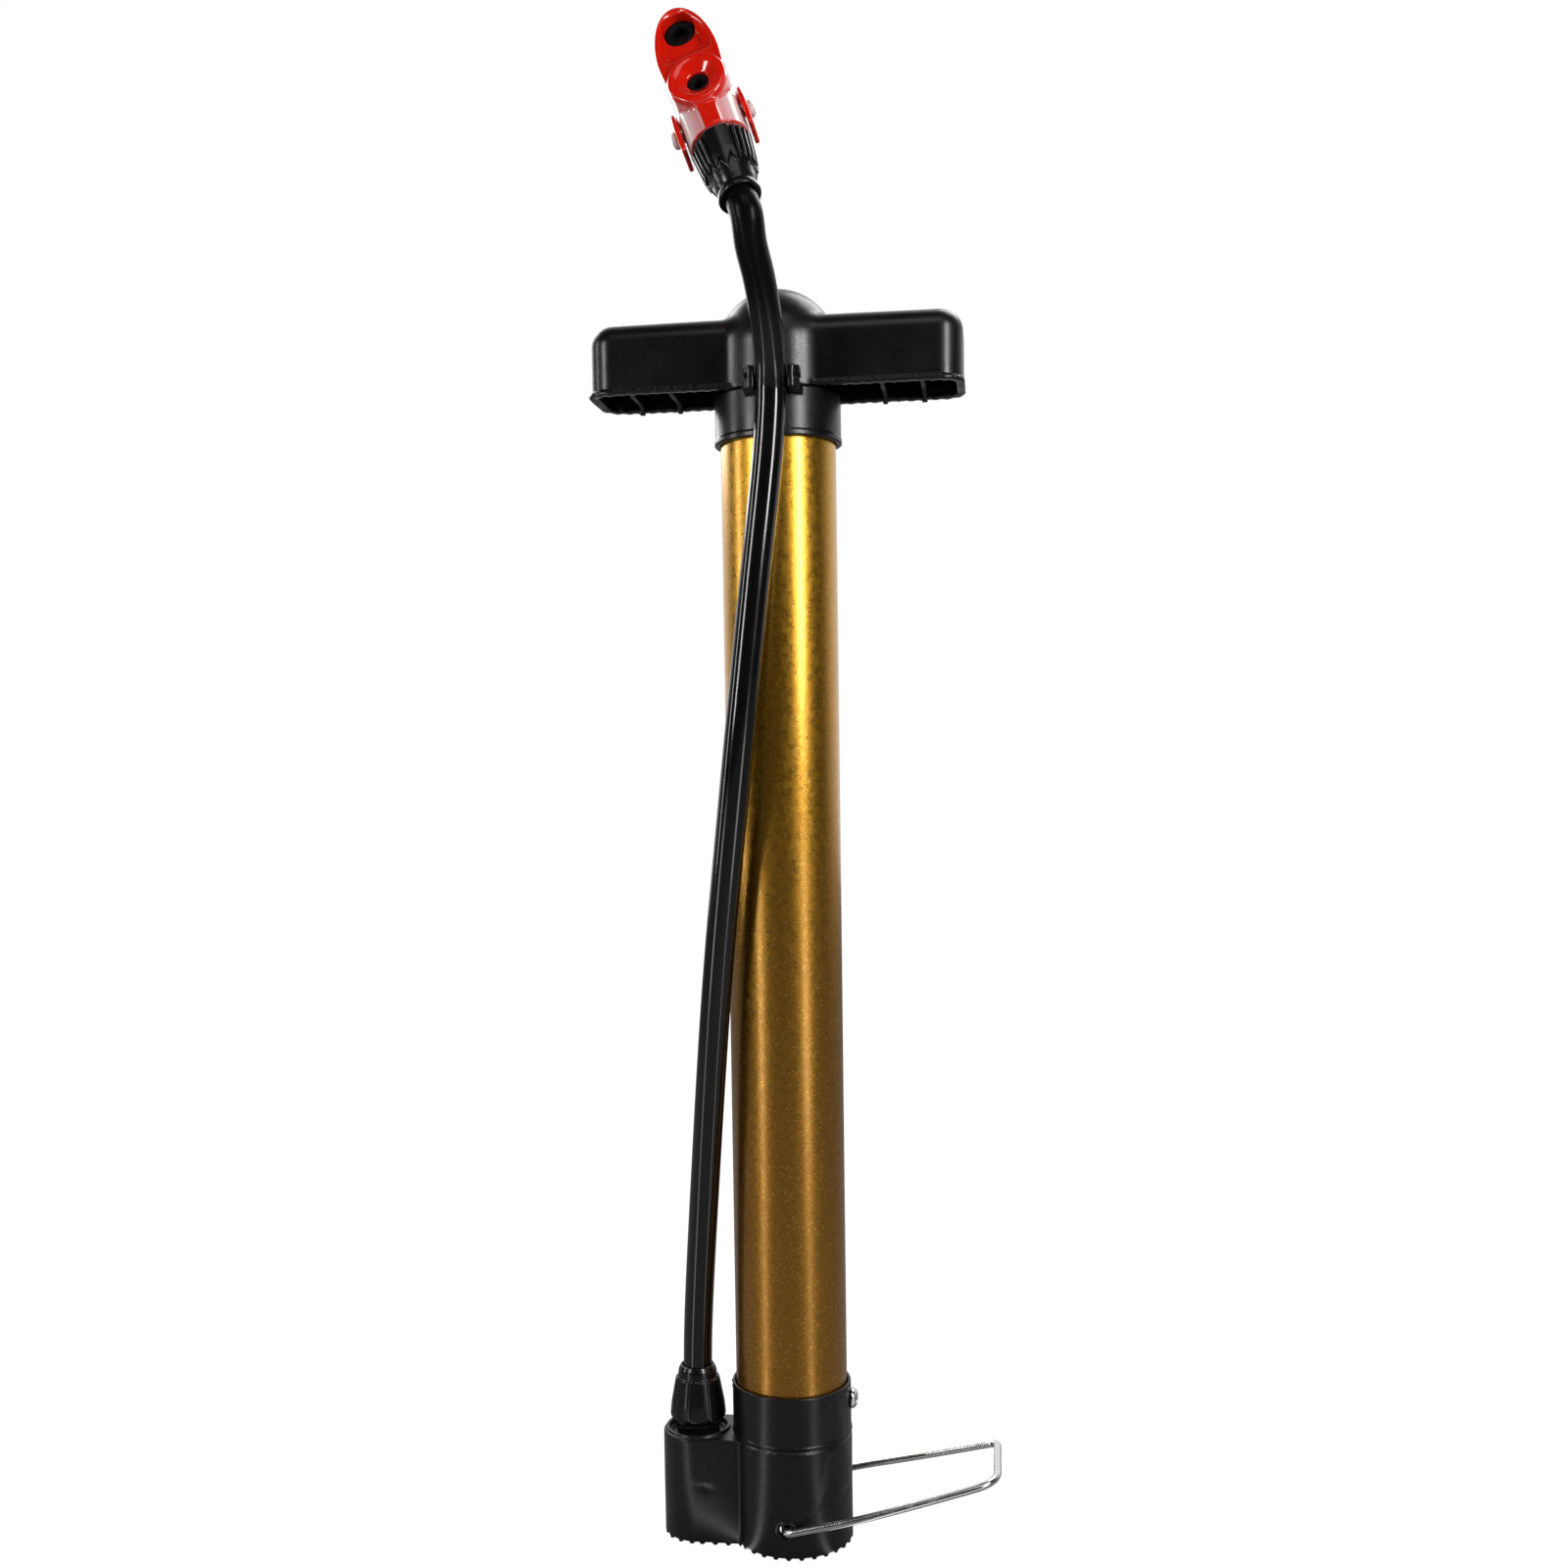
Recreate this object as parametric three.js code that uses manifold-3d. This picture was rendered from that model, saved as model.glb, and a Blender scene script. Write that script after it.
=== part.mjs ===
// Foot air pump: a hand-worked floor pump with a wire foot rest and a double valve head.
// Millimetres, +Z up. The origin is on the floor, under the axis of the barrel.
// The hose leaves the base on the -X side, the foot wire points to +X and the valve ports face -Y.
import * as THREE from "three";
import { mergeVertices } from "three/addons/utils/BufferGeometryUtils.js";
import Module from "manifold-3d";

// ---------------------------------------------------------------- driving dimensions

const FIT = 0.3; // clearance between neighbouring pieces
const ROUND = 40; // facets of a large round piece
const SMALL_ROUND = 20; // facets of a small round piece

const BARREL_RADIUS = 17.5;
const BARREL_WALL = 1.2;
const BARREL_BORE = BARREL_RADIUS - BARREL_WALL;

const BASE_RADIUS = 18.9;
const BASE_LEDGE = 33.9; // height of the shoulder below the collar
const COLLAR_RADIUS = 18.75;
const COLLAR_BORE = 17.9;
const COLLAR_TOP = 51.3;
const SOCKET_FLOOR = 36;
const BOSS_OFFSET = 30.3; // hose boss axis, towards -X
const BOSS_RADIUS = 11.1;
const BOSS_WAIST = 10.8; // half width of the boss flanks at the barrel axis
const BASE_WALL = 2.4;
const CAVITY_TOP = 14;
const POST_RADIUS = 4; // central post under the socket, which also stands on the floor
const WEB_THICKNESS = 1.6;
const WEB_BOTTOM = 4;
const TOOTH_HEIGHT = 1;
const TOOTH_WIDTH = 1.5;
const TOOTH_LENGTH = 2.2;
const TOOTH_PITCH = 4.15;
const CHANNEL_RADIUS = 1.5;
const CHANNEL_HEIGHT = 18.5;
const VALVE_SEAT = 22;
const VALVE_SEAT_RADIUS = 1.6;
const VALVE_CHAMBER = 3.7;
const BALL_RADIUS = 2.6;
const SEAT_RIM_OUTER = 10.3;
const SEAT_RIM_INNER = 9.3;
const SEAT_RIM_HEIGHT = 0.9;
const SEAT_DEPTH = 1.3;

const GASKET_THICKNESS = 1.4;
const BARREL_BOTTOM = SOCKET_FLOOR + GASKET_THICKNESS + 2 * FIT;
const BARREL_TOP = 350;

const SCREW_HEIGHT = 45.3;
const SCREW_HEAD_RADIUS = 3.25;
const SCREW_HEAD_HEIGHT = 2.3;
const SCREW_SHANK = 1.4;

const WIRE_RADIUS = 1.2;
const WIRE_HINGE_HEIGHT = 9.4;
const WIRE_HOLE = 2.2;
const WIRE_LENGTH = 66.7;
const WIRE_HALF_WIDTH = 20.6; // at the hinge
const WIRE_TIP_HALF_WIDTH = 14.9; // at the cross bar
const WIRE_KNEE = 22; // the legs run parallel as far as this
const WIRE_END = 12.5; // inner end of each bent-in pin
const WIRE_REST_ANGLE = 14.9;

const CAP_RADIUS = 19.1;
const CAP_BOTTOM = 341.3;
const CAP_TOP = 355.7;
const CAP_LIP = 0.25;
const CLIP_TURN = 3; // the cap is screwed on a little past straight
const CLIP_BOTTOM = 353;
const CLIP_TOP = 359.5;
const CLIP_REACH = 27.6;
const CLIP_WALL = 3.4;
const CLIP_ROOM = 1.3; // space for the handle to turn past the clip

const ROD_RADIUS = 4;
const ROD_BORE = ROD_RADIUS + FIT;
const ROD_BOTTOM = 40.5;
const ROD_TOP = 379;
const BUSH_RADIUS = 6;
const BUMPER_RADIUS = 7;
const BUMPER_WIRE = 0.8;
const BUMPER_BOTTOM = 329;

const HANDLE_BOTTOM = 356;
const HANDLE_TOP = 377.4;
const HANDLE_HALF_LENGTH = 56;
const HANDLE_HALF_DEPTH = 14.2;
const HANDLE_CORNER = 7.5;
const HANDLE_EDGE = 6;
const HANDLE_WALL = 2;
const LIP_HEIGHT = 3;
const LIP_STEP = 0.5;
const DOME_RADIUS = 18.3;
const DOME_TOP = 387.4;
const HUB_RADIUS = 7.2;
const HUB_BOTTOM = 362.4;
const RIB_PLACES = [32, 44];
const RIB_WIDTH = 1.3;
const RIB_DROP = 1.2;

const PISTON_RADIUS = 15.9;
const PISTON_BOTTOM = 50.7;
const PISTON_TOP = 62;
const CUP_LIP = 16.1;

const HOSE_RADIUS = 4.55;
const HOSE_BORE = 2.9;
const HOSE_GAP = 1.7; // room for two pieces of hose to hinge
const HOSE_PIECES = 7;
const HOSE_FIRST_CUT = 34; // length of hose held by the base nut
const HOSE_LAST_CUT = 68; // length of hose above the last hinge
const HOSE_SIDES = 7;
const HOSE_STEPS = 5;
const HOSE_STEPS_CURVED = 13; // the last piece bends over the handle

const NUT_BOTTOM = 35.6;
const NUT_TOP = 54.6;
const NUT_FOOT_RADIUS = 7.5;
const NUT_WIDE_RADIUS = 8.3;
const NUT_NECK_RADIUS = 6.3;
const NUT_FINS = 8;
const NUT_FIN_HEIGHT = 0.6;

// Places on the valve head are lengths along its axis, from where the hose enters its nut.
const HEAD_PLACE = [-3.03, -49.9, 398.57];
const HEAD_LEAN_BACK = 22;
const HEAD_LEAN_SIDE = 20.4;
const HEAD_TWIST = 2;
const HEAD_NUT_RADIUS = 7.5;
const HEAD_NUT_TOP = 18.8;
const HEAD_NUT_RIBS = 28;
const HEAD_NECK_RADIUS = 6.4;
const HEAD_NECK_BOTTOM = 9;
const HEAD_HALF_WIDTH = 8.8;
const HEAD_FACE = 9.2; // port face in front of the head axis
const HEAD_BOTTOM = 19.1;
const TIP_START = 44.2; // the head narrows to an egg-shaped tip from here
const TIP_LENGTH = 18.7;
const PRESTA_PLACE = 35.2;
const PRESTA_FACE = 10.6;
const PRESTA_RING = 8.25;
const FUNNEL_RADIUS = 6.2;
const FUNNEL_FLOOR_RADIUS = 3.1;
const FUNNEL_DEPTH = 2;
const PRESTA_BORE = 4.3;
const SCHRADER_PLACE = 56.7;
const SCHRADER_BORE = 4.75;
const DISH_RADIUS = 8.6; // the hollow round the Schrader port is part of a stretched sphere
const DISH_STRETCH = 1.1;
const DISH_DEPTH = 3.1;
const DISH_PLACE = 54.6;
const KEEL_WIDTH = 4.6;
const KEEL_HEIGHT = 0.3;
const PIN_PLACE = 32.5;
const PIN_DEPTH = 5.4; // lever pin behind the head axis
const PIN_RADIUS = 1.5;
const LEVER_INNER = 9.1;
const LEVER_OUTER = 10.6;
const LEVER_BACK = 9.1; // front of the lever pad, behind the head axis
const LEVER_THICKNESS = 2;
const PAD_PLACE = 52.4;
const PAD_HALF_WIDTH = 8.2;
const PAD_HALF_LENGTH = 11;

// ---------------------------------------------------------------- solids

const wasm = await Module();
wasm.setup();

// A closed three.js geometry as a solid that can be joined and cut.
function solid(geometry) {
  const bare = geometry.clone();
  bare.deleteAttribute("normal");
  bare.deleteAttribute("uv");
  const merged = mergeVertices(bare, 1e-4);
  return new wasm.Manifold(
    new wasm.Mesh({
      numProp: 3,
      vertProperties: new Float32Array(merged.attributes.position.array),
      triVerts: new Uint32Array(merged.index.array),
    }),
  );
}

function geometryOf(made) {
  const mesh = made.getMesh();
  const geometry = new THREE.BufferGeometry();
  geometry.setAttribute("position", new THREE.BufferAttribute(mesh.vertProperties, 3));
  geometry.setIndex(new THREE.BufferAttribute(mesh.triVerts, 1));
  return geometry;
}

const join = (first, ...others) => others.reduce((all, next) => all.add(next), first);
const cut = (first, ...others) => others.reduce((left, next) => left.subtract(next), first);

// A profile of [radius, height] points turned about the Z axis.
function turned(profile, facets = SMALL_ROUND) {
  const points = profile.map(([radius, height]) => new THREE.Vector2(radius, height));
  return new THREE.LatheGeometry(points, facets).rotateX(Math.PI / 2);
}

// A turned tube from bottom to top.
function tube(inner, outer, bottom, top, facets = SMALL_ROUND) {
  const wall = [
    [inner, bottom],
    [outer, bottom],
    [outer, top],
    [inner, top],
    [inner, bottom],
  ];
  return turned(wall, facets);
}

// A round bar from bottom to top.
function bar(radius, bottom, top, facets = SMALL_ROUND) {
  return new THREE.CylinderGeometry(radius, radius, top - bottom, facets)
    .rotateX(Math.PI / 2)
    .translate(0, 0, (bottom + top) / 2);
}

function box(width, depth, height, x, y, z) {
  return new THREE.BoxGeometry(width, depth, height).translate(x, y, z);
}

// Points of an arc in a [radius, height] profile, from one angle to another.
function arcPoints(x, y, radius, from, to, steps) {
  return Array.from({ length: steps + 1 }, (_, i) => {
    const angle = THREE.MathUtils.degToRad(from + ((to - from) * i) / steps);
    return [x + radius * Math.cos(angle), y + radius * Math.sin(angle)];
  });
}

function roundedRectangle(halfLength, halfDepth, corner) {
  const x = halfLength - corner;
  const y = halfDepth - corner;
  const shape = new THREE.Shape();
  shape.absarc(x, y, corner, 0, Math.PI / 2);
  shape.absarc(-x, y, corner, Math.PI / 2, Math.PI);
  shape.absarc(-x, -y, corner, Math.PI, 1.5 * Math.PI);
  shape.absarc(x, -y, corner, 1.5 * Math.PI, 2 * Math.PI);
  return shape;
}

function raised(shape, bottom, top, curveSegments = 4) {
  const flat = { depth: top - bottom, bevelEnabled: false, curveSegments };
  return new THREE.ExtrudeGeometry(shape, flat).translate(0, 0, bottom);
}

function hexagon(acrossFlats, boreRadius, bottom, top) {
  const corner = acrossFlats / Math.sqrt(3);
  return cut(solid(bar(corner, bottom, top, 6)), solid(bar(boreRadius, bottom - 1, top + 1)));
}

// A wire of round section along a curve.
function wire(path, radius, steps, sides) {
  const section = new THREE.Shape();
  section.absarc(0, 0, radius, 0, 2 * Math.PI);
  return new THREE.ExtrudeGeometry(section, {
    extrudePath: path,
    steps,
    curveSegments: sides / 2,
    bevelEnabled: false,
  });
}

class Helix extends THREE.Curve {
  constructor(radius, bottom, top, turns) {
    super();
    Object.assign(this, { radius, bottom, top, turns });
  }
  getPoint(t) {
    const angle = 2 * Math.PI * this.turns * t;
    const z = THREE.MathUtils.lerp(this.bottom, this.top, t);
    return new THREE.Vector3(this.radius * Math.cos(angle), this.radius * Math.sin(angle), z);
  }
}

// ---------------------------------------------------------------- materials

const plastic = { color: 0x161616, roughness: 0.38, metalness: 0 };
const gold = { color: 0xc8891c, roughness: 0.34, metalness: 0.85 };
const steel = { color: 0xc9ccd0, roughness: 0.22, metalness: 1 };
const rubber = { color: 0x0b0b0c, roughness: 0.6, metalness: 0 };
const hoseRubber = { color: 0x0a0a0b, roughness: 0.22, metalness: 0 };
const redPlastic = { color: 0xd0120a, roughness: 0.2, metalness: 0 };
const brass = { color: 0xb5924a, roughness: 0.3, metalness: 1 };
const palePlastic = { color: 0xe6dcdc, roughness: 0.35, metalness: 0 };

function piece(name, shape, finish) {
  const geometry = shape instanceof THREE.BufferGeometry ? shape : geometryOf(shape);
  const mesh = new THREE.Mesh(geometry, new THREE.MeshStandardMaterial(finish));
  mesh.name = name;
  return mesh;
}

// ---------------------------------------------------------------- base

// The boss outline: two flanks that narrow towards the barrel, and a round end.
function bossOutline(radius, waist) {
  const shape = new THREE.Shape();
  shape.moveTo(0, waist);
  shape.lineTo(-BOSS_OFFSET, radius);
  shape.absarc(-BOSS_OFFSET, 0, radius, Math.PI / 2, 1.5 * Math.PI);
  shape.lineTo(0, -waist);
  return shape;
}

// Small feet under the rim, evenly spaced round the outline of the base.
function teeth() {
  const flankRun = BOSS_OFFSET - Math.sqrt(BASE_RADIUS ** 2 - BOSS_RADIUS ** 2);
  const flankSlope = Math.atan2(BOSS_RADIUS - BOSS_WAIST, BOSS_OFFSET);
  const mainAngle = Math.PI - Math.asin(BOSS_RADIUS / BASE_RADIUS);
  const tooth = (x, y, turn, reach) =>
    solid(
      box(TOOTH_LENGTH, TOOTH_WIDTH, TOOTH_HEIGHT + FIT, 0, 0, (TOOTH_HEIGHT + FIT) / 2)
        .translate(reach - TOOTH_LENGTH / 2, 0, 0)
        .rotateZ(turn)
        .translate(x, y, 0),
    );
  const made = [];
  const mainSteps = Math.floor((mainAngle * BASE_RADIUS) / TOOTH_PITCH);
  for (let i = -mainSteps; i <= mainSteps; i += 1)
    made.push(tooth(0, 0, (i * TOOTH_PITCH) / BASE_RADIUS, BASE_RADIUS));
  const bossSteps = Math.floor((Math.PI * BOSS_RADIUS) / 2 / TOOTH_PITCH);
  for (let i = -bossSteps; i <= bossSteps; i += 1)
    made.push(tooth(-BOSS_OFFSET, 0, Math.PI + (i * TOOTH_PITCH) / BOSS_RADIUS, BOSS_RADIUS));
  const flankSteps = Math.floor(flankRun / TOOTH_PITCH);
  for (const side of [-1, 1])
    for (let i = 0; i < flankSteps; i += 1) {
      const along = (i + 0.6) * TOOTH_PITCH;
      const out = BOSS_RADIUS - along * Math.tan(flankSlope);
      made.push(tooth(-BOSS_OFFSET + along, side * out, (side * Math.PI) / 2, 0));
    }
  return made;
}

function base() {
  const tower = turned(
    [
      [0, TOOTH_HEIGHT],
      [BASE_RADIUS, TOOTH_HEIGHT],
      [BASE_RADIUS, BASE_LEDGE - 0.6],
      [BASE_RADIUS - 0.6, BASE_LEDGE],
      [BASE_RADIUS - 0.6, BASE_LEDGE + 0.5],
      [COLLAR_RADIUS, BASE_LEDGE + 0.9],
      [COLLAR_RADIUS, COLLAR_TOP],
      [0, COLLAR_TOP],
    ],
    ROUND,
  );
  const boss = raised(bossOutline(BOSS_RADIUS, BOSS_WAIST), TOOTH_HEIGHT, BASE_LEDGE, 10);
  const seatRim = bar(SEAT_RIM_OUTER, BASE_LEDGE - 1, BASE_LEDGE + SEAT_RIM_HEIGHT, 32);
  const seat = bar(SEAT_RIM_INNER, BASE_LEDGE - SEAT_DEPTH, BASE_LEDGE + 5, 32);
  const innerBoss = bossOutline(BOSS_RADIUS - BASE_WALL, BOSS_WAIST - BASE_WALL);
  const holeAcross = bar(WIRE_HOLE, -BASE_RADIUS - 5, BASE_RADIUS + 5, 16).rotateX(Math.PI / 2);
  const channel = bar(CHANNEL_RADIUS, 0, BOSS_OFFSET, 12).rotateY(-Math.PI / 2);
  const screwHole = bar(SCREW_SHANK + FIT, BARREL_BORE, BASE_RADIUS + 3, 16).rotateY(Math.PI / 2);
  const body = join(
    solid(tower),
    solid(boss),
    solid(seatRim.translate(-BOSS_OFFSET, 0, 0)),
    ...teeth(),
  );
  const web = box(
    2 * BASE_RADIUS - BASE_WALL,
    WEB_THICKNESS,
    CAVITY_TOP + 1 - WEB_BOTTOM,
    0,
    0,
    (CAVITY_TOP + 1 + WEB_BOTTOM) / 2,
  );
  const hollowed = cut(
    body,
    solid(bar(BASE_RADIUS - BASE_WALL, -1, CAVITY_TOP, ROUND)),
    solid(raised(innerBoss, -1, CAVITY_TOP, 8)),
    solid(bar(COLLAR_BORE, SOCKET_FLOOR, COLLAR_TOP + 5, ROUND)),
    solid(seat.translate(-BOSS_OFFSET, 0, 0)),
    solid(bar(CHANNEL_RADIUS, CHANNEL_HEIGHT, SOCKET_FLOOR + 1, 12)),
    solid(channel.translate(0, 0, CHANNEL_HEIGHT)),
    solid(bar(VALVE_SEAT_RADIUS, CHANNEL_HEIGHT, VALVE_SEAT + 1, 16).translate(-BOSS_OFFSET, 0, 0)),
    solid(bar(VALVE_CHAMBER, VALVE_SEAT, BASE_LEDGE, SMALL_ROUND).translate(-BOSS_OFFSET, 0, 0)),
    solid(holeAcross.translate(0, 0, WIRE_HINGE_HEIGHT)),
    solid(screwHole.translate(0, 0, SCREW_HEIGHT)),
  );
  return join(hollowed, solid(bar(POST_RADIUS, 0, CAVITY_TOP + 1)), solid(web));
}

function collarScrew() {
  const inside = BARREL_BORE + 0.2;
  const seat = COLLAR_RADIUS + 0.1;
  const profile = [
    [0, inside],
    [SCREW_SHANK, inside],
    [SCREW_SHANK, seat],
    [SCREW_HEAD_RADIUS, seat],
    [SCREW_HEAD_RADIUS, seat + 1],
    ...arcPoints(SCREW_HEAD_RADIUS - 1.3, seat + 1, 1.3, 22, 90, 3),
    [0, seat + SCREW_HEAD_HEIGHT],
  ];
  const slot = (turn) => solid(box(0.7, 3.6, 1.6, 0, 0, seat + SCREW_HEAD_HEIGHT).rotateZ(turn));
  return cut(solid(turned(profile)), slot(0), slot(Math.PI / 2));
}

function footWire() {
  const at = (x, y) => new THREE.Vector3(x, y, 0);
  const bendRadius = 4.5;
  const pinBend = 2.6;
  const slope = (WIRE_HALF_WIDTH - WIRE_TIP_HALF_WIDTH) / (WIRE_LENGTH - WIRE_KNEE);
  const legEnd = WIRE_LENGTH - bendRadius;
  const legEndWidth = WIRE_TIP_HALF_WIDTH + slope * bendRadius;
  const half = (side) => [
    [at(0, side * WIRE_END), at(0, side * (WIRE_HALF_WIDTH - pinBend))],
    [at(0, side * WIRE_HALF_WIDTH)],
    [at(pinBend, side * WIRE_HALF_WIDTH), at(WIRE_KNEE - 5, side * WIRE_HALF_WIDTH)],
    [at(WIRE_KNEE, side * WIRE_HALF_WIDTH)],
    [at(WIRE_KNEE + 5, side * (WIRE_HALF_WIDTH - 5 * slope)), at(legEnd, side * legEndWidth)],
    [at(WIRE_LENGTH, side * WIRE_TIP_HALF_WIDTH)],
  ];
  const near = half(-1);
  const far = half(1).map((points) => [...points].reverse());
  const bar = [at(WIRE_LENGTH, bendRadius - WIRE_TIP_HALF_WIDTH)];
  bar.push(at(WIRE_LENGTH, WIRE_TIP_HALF_WIDTH - bendRadius));
  const parts = [...near, bar, ...far.reverse()];
  const path = new THREE.CurvePath();
  parts.forEach((points, i) => {
    if (points.length === 2) path.add(new THREE.LineCurve3(...points));
    else {
      const before = parts[i - 1].at(-1);
      const after = parts[i + 1][0];
      path.add(new THREE.QuadraticBezierCurve3(before, points[0], after));
    }
  });
  return wire(path, WIRE_RADIUS, 72, 8);
}

function baseNipple() {
  const flange = BASE_LEDGE - SEAT_DEPTH + 0.2;
  return turned([
    [1.2, flange - 1.8],
    [VALVE_CHAMBER - FIT, flange - 1.8],
    [VALVE_CHAMBER - FIT, flange],
    [6.4, flange],
    [6.4, flange + 1.6],
    [5.6, flange + 1.8],
    [5.6, flange + 8],
    [2.5, flange + 9],
    [2.5, flange + 19],
    [1.2, flange + 19],
    [1.2, flange - 1.8],
  ]);
}

function baseHoseNut() {
  const shoulder = NUT_TOP - 3.6;
  const body = turned(
    [
      [6, NUT_BOTTOM],
      [NUT_FOOT_RADIUS, NUT_BOTTOM],
      [NUT_WIDE_RADIUS, NUT_BOTTOM + 3],
      [NUT_NECK_RADIUS, shoulder],
      [HOSE_RADIUS + 0.9, NUT_TOP],
      [HOSE_RADIUS + FIT, NUT_TOP],
      [HOSE_RADIUS + FIT, NUT_BOTTOM + 8],
      [6, NUT_BOTTOM + 7],
      [6, NUT_BOTTOM],
    ],
    32,
  );
  const finShape = new THREE.Shape([
    new THREE.Vector2(NUT_FOOT_RADIUS - 0.6, NUT_BOTTOM + 1.4),
    new THREE.Vector2(NUT_WIDE_RADIUS + NUT_FIN_HEIGHT, NUT_BOTTOM + 3),
    new THREE.Vector2(NUT_NECK_RADIUS + NUT_FIN_HEIGHT, shoulder),
    new THREE.Vector2(NUT_NECK_RADIUS - 0.8, shoulder),
  ]);
  const fin = raised(finShape, -1.7, 1.7, 1).rotateX(Math.PI / 2);
  const fins = Array.from({ length: NUT_FINS }, (_, i) =>
    solid(fin.clone().rotateZ(((i + 0.5) * 2 * Math.PI) / NUT_FINS)),
  );
  return join(solid(body), ...fins);
}

// ---------------------------------------------------------------- barrel cap and rod guide

function barrelCap() {
  const shell = turned(
    [
      [BARREL_RADIUS + FIT, CAP_BOTTOM],
      [CAP_RADIUS + CAP_LIP, CAP_BOTTOM],
      [CAP_RADIUS + CAP_LIP, CAP_BOTTOM + 1.6],
      [CAP_RADIUS, CAP_BOTTOM + 2],
      [CAP_RADIUS, CAP_TOP - 0.6],
      [CAP_RADIUS - 0.6, CAP_TOP],
      [BUSH_RADIUS + FIT, CAP_TOP],
      [BUSH_RADIUS + FIT, BARREL_TOP + FIT],
      [BARREL_RADIUS + FIT, BARREL_TOP + FIT],
      [BARREL_RADIUS + FIT, CAP_BOTTOM],
    ],
    ROUND,
  );
  const inner = HOSE_RADIUS + FIT;
  const claw = new THREE.Shape([
    new THREE.Vector2(inner, -BARREL_RADIUS - 1),
    new THREE.Vector2(inner, -CLIP_REACH),
    new THREE.Vector2(inner + CLIP_WALL - 1, -CLIP_REACH),
    new THREE.Vector2(inner + CLIP_WALL, -CLIP_REACH + 2),
    new THREE.Vector2(inner + CLIP_WALL, -BARREL_RADIUS + 1),
  ]);
  const right = solid(raised(claw, CLIP_BOTTOM, CLIP_TOP, 1));
  const left = right.mirror([1, 0, 0]);
  const handleRoom = solid(bar(DOME_RADIUS + CLIP_ROOM, CAP_TOP, CLIP_TOP + 5, ROUND));
  const clip = cut(join(right, left), handleRoom, solid(bar(CAP_RADIUS - 1, 340, CAP_TOP)));
  return join(solid(shell), clip);
}

// ---------------------------------------------------------------- handle

// A block with rounded upright corners and a rounded top edge, open to any depth below.
function softBlock(halfLength, halfDepth, corner, edge, bottom, top) {
  const shape = roundedRectangle(halfLength, halfDepth, corner);
  const geometry = new THREE.ExtrudeGeometry(shape, {
    depth: top - bottom,
    curveSegments: 4,
    bevelSegments: 3,
    bevelThickness: edge,
    bevelSize: edge,
    bevelOffset: -edge,
  });
  return solid(geometry.translate(0, 0, bottom - edge));
}

function dome(radius, bottom, top) {
  const profile = [[0, bottom], [radius, bottom], ...arcPoints(0, top - radius, radius, 0, 90, 7)];
  return solid(turned(profile, ROUND));
}

function rib(place) {
  const depth = HANDLE_HALF_DEPTH - HANDLE_WALL / 2;
  const top = HANDLE_TOP - HANDLE_WALL / 2;
  const outline = new THREE.Shape([
    new THREE.Vector2(-depth, HANDLE_BOTTOM + 3),
    new THREE.Vector2(depth - 5, HANDLE_BOTTOM + 1),
    new THREE.Vector2(depth - 1.5, HANDLE_BOTTOM - RIB_DROP),
    new THREE.Vector2(depth, HANDLE_BOTTOM),
    new THREE.Vector2(depth, top - HANDLE_EDGE),
    new THREE.Vector2(depth - HANDLE_EDGE, top),
    new THREE.Vector2(-depth + HANDLE_EDGE, top),
    new THREE.Vector2(-depth, top - HANDLE_EDGE),
  ]);
  const plate = raised(outline, -RIB_WIDTH / 2, RIB_WIDTH / 2, 1);
  return solid(plate.rotateX(Math.PI / 2).rotateZ(Math.PI / 2).translate(place, 0, 0));
}

function handle() {
  const below = HANDLE_BOTTOM - 20;
  const lipShape = roundedRectangle(
    HANDLE_HALF_LENGTH + LIP_STEP,
    HANDLE_HALF_DEPTH + LIP_STEP,
    HANDLE_CORNER + LIP_STEP,
  );
  const outside = join(
    softBlock(HANDLE_HALF_LENGTH, HANDLE_HALF_DEPTH, HANDLE_CORNER, HANDLE_EDGE, below, HANDLE_TOP),
    solid(raised(lipShape, HANDLE_BOTTOM - 1, HANDLE_BOTTOM + LIP_HEIGHT, 5)),
    dome(DOME_RADIUS, below, DOME_TOP),
  );
  const inside = join(
    softBlock(
      HANDLE_HALF_LENGTH - HANDLE_WALL,
      HANDLE_HALF_DEPTH - HANDLE_WALL,
      HANDLE_CORNER - HANDLE_WALL,
      HANDLE_EDGE - HANDLE_WALL,
      below - 20,
      HANDLE_TOP - HANDLE_WALL,
    ),
    dome(DOME_RADIUS - HANDLE_WALL, below - 20, DOME_TOP - HANDLE_WALL),
  );
  const underside = solid(box(200, 100, 60, 0, 0, HANDLE_BOTTOM - 30));
  const hub = solid(bar(HUB_RADIUS, HUB_BOTTOM, DOME_TOP - HANDLE_WALL, SMALL_ROUND));
  const bore = solid(bar(ROD_BORE, HUB_BOTTOM - 1, ROD_TOP + FIT, SMALL_ROUND));
  const ribs = RIB_PLACES.flatMap((place) => [rib(place), rib(-place)]);
  return join(cut(outside, inside, underside), cut(hub, bore), ...ribs);
}

// ---------------------------------------------------------------- piston

const pistonNut = () => hexagon(13, ROD_BORE, 41, PISTON_BOTTOM - 5);

function pistonCup() {
  const roof = PISTON_BOTTOM - FIT;
  return turned(
    [
      [ROD_BORE, roof - 2],
      [13.6, roof - 2],
      [14.6, 43],
      [CUP_LIP, 42],
      [CUP_LIP, roof - 1],
      [CUP_LIP - 1, roof],
      [ROD_BORE, roof],
      [ROD_BORE, roof - 2],
    ],
    ROUND,
  );
}

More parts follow.
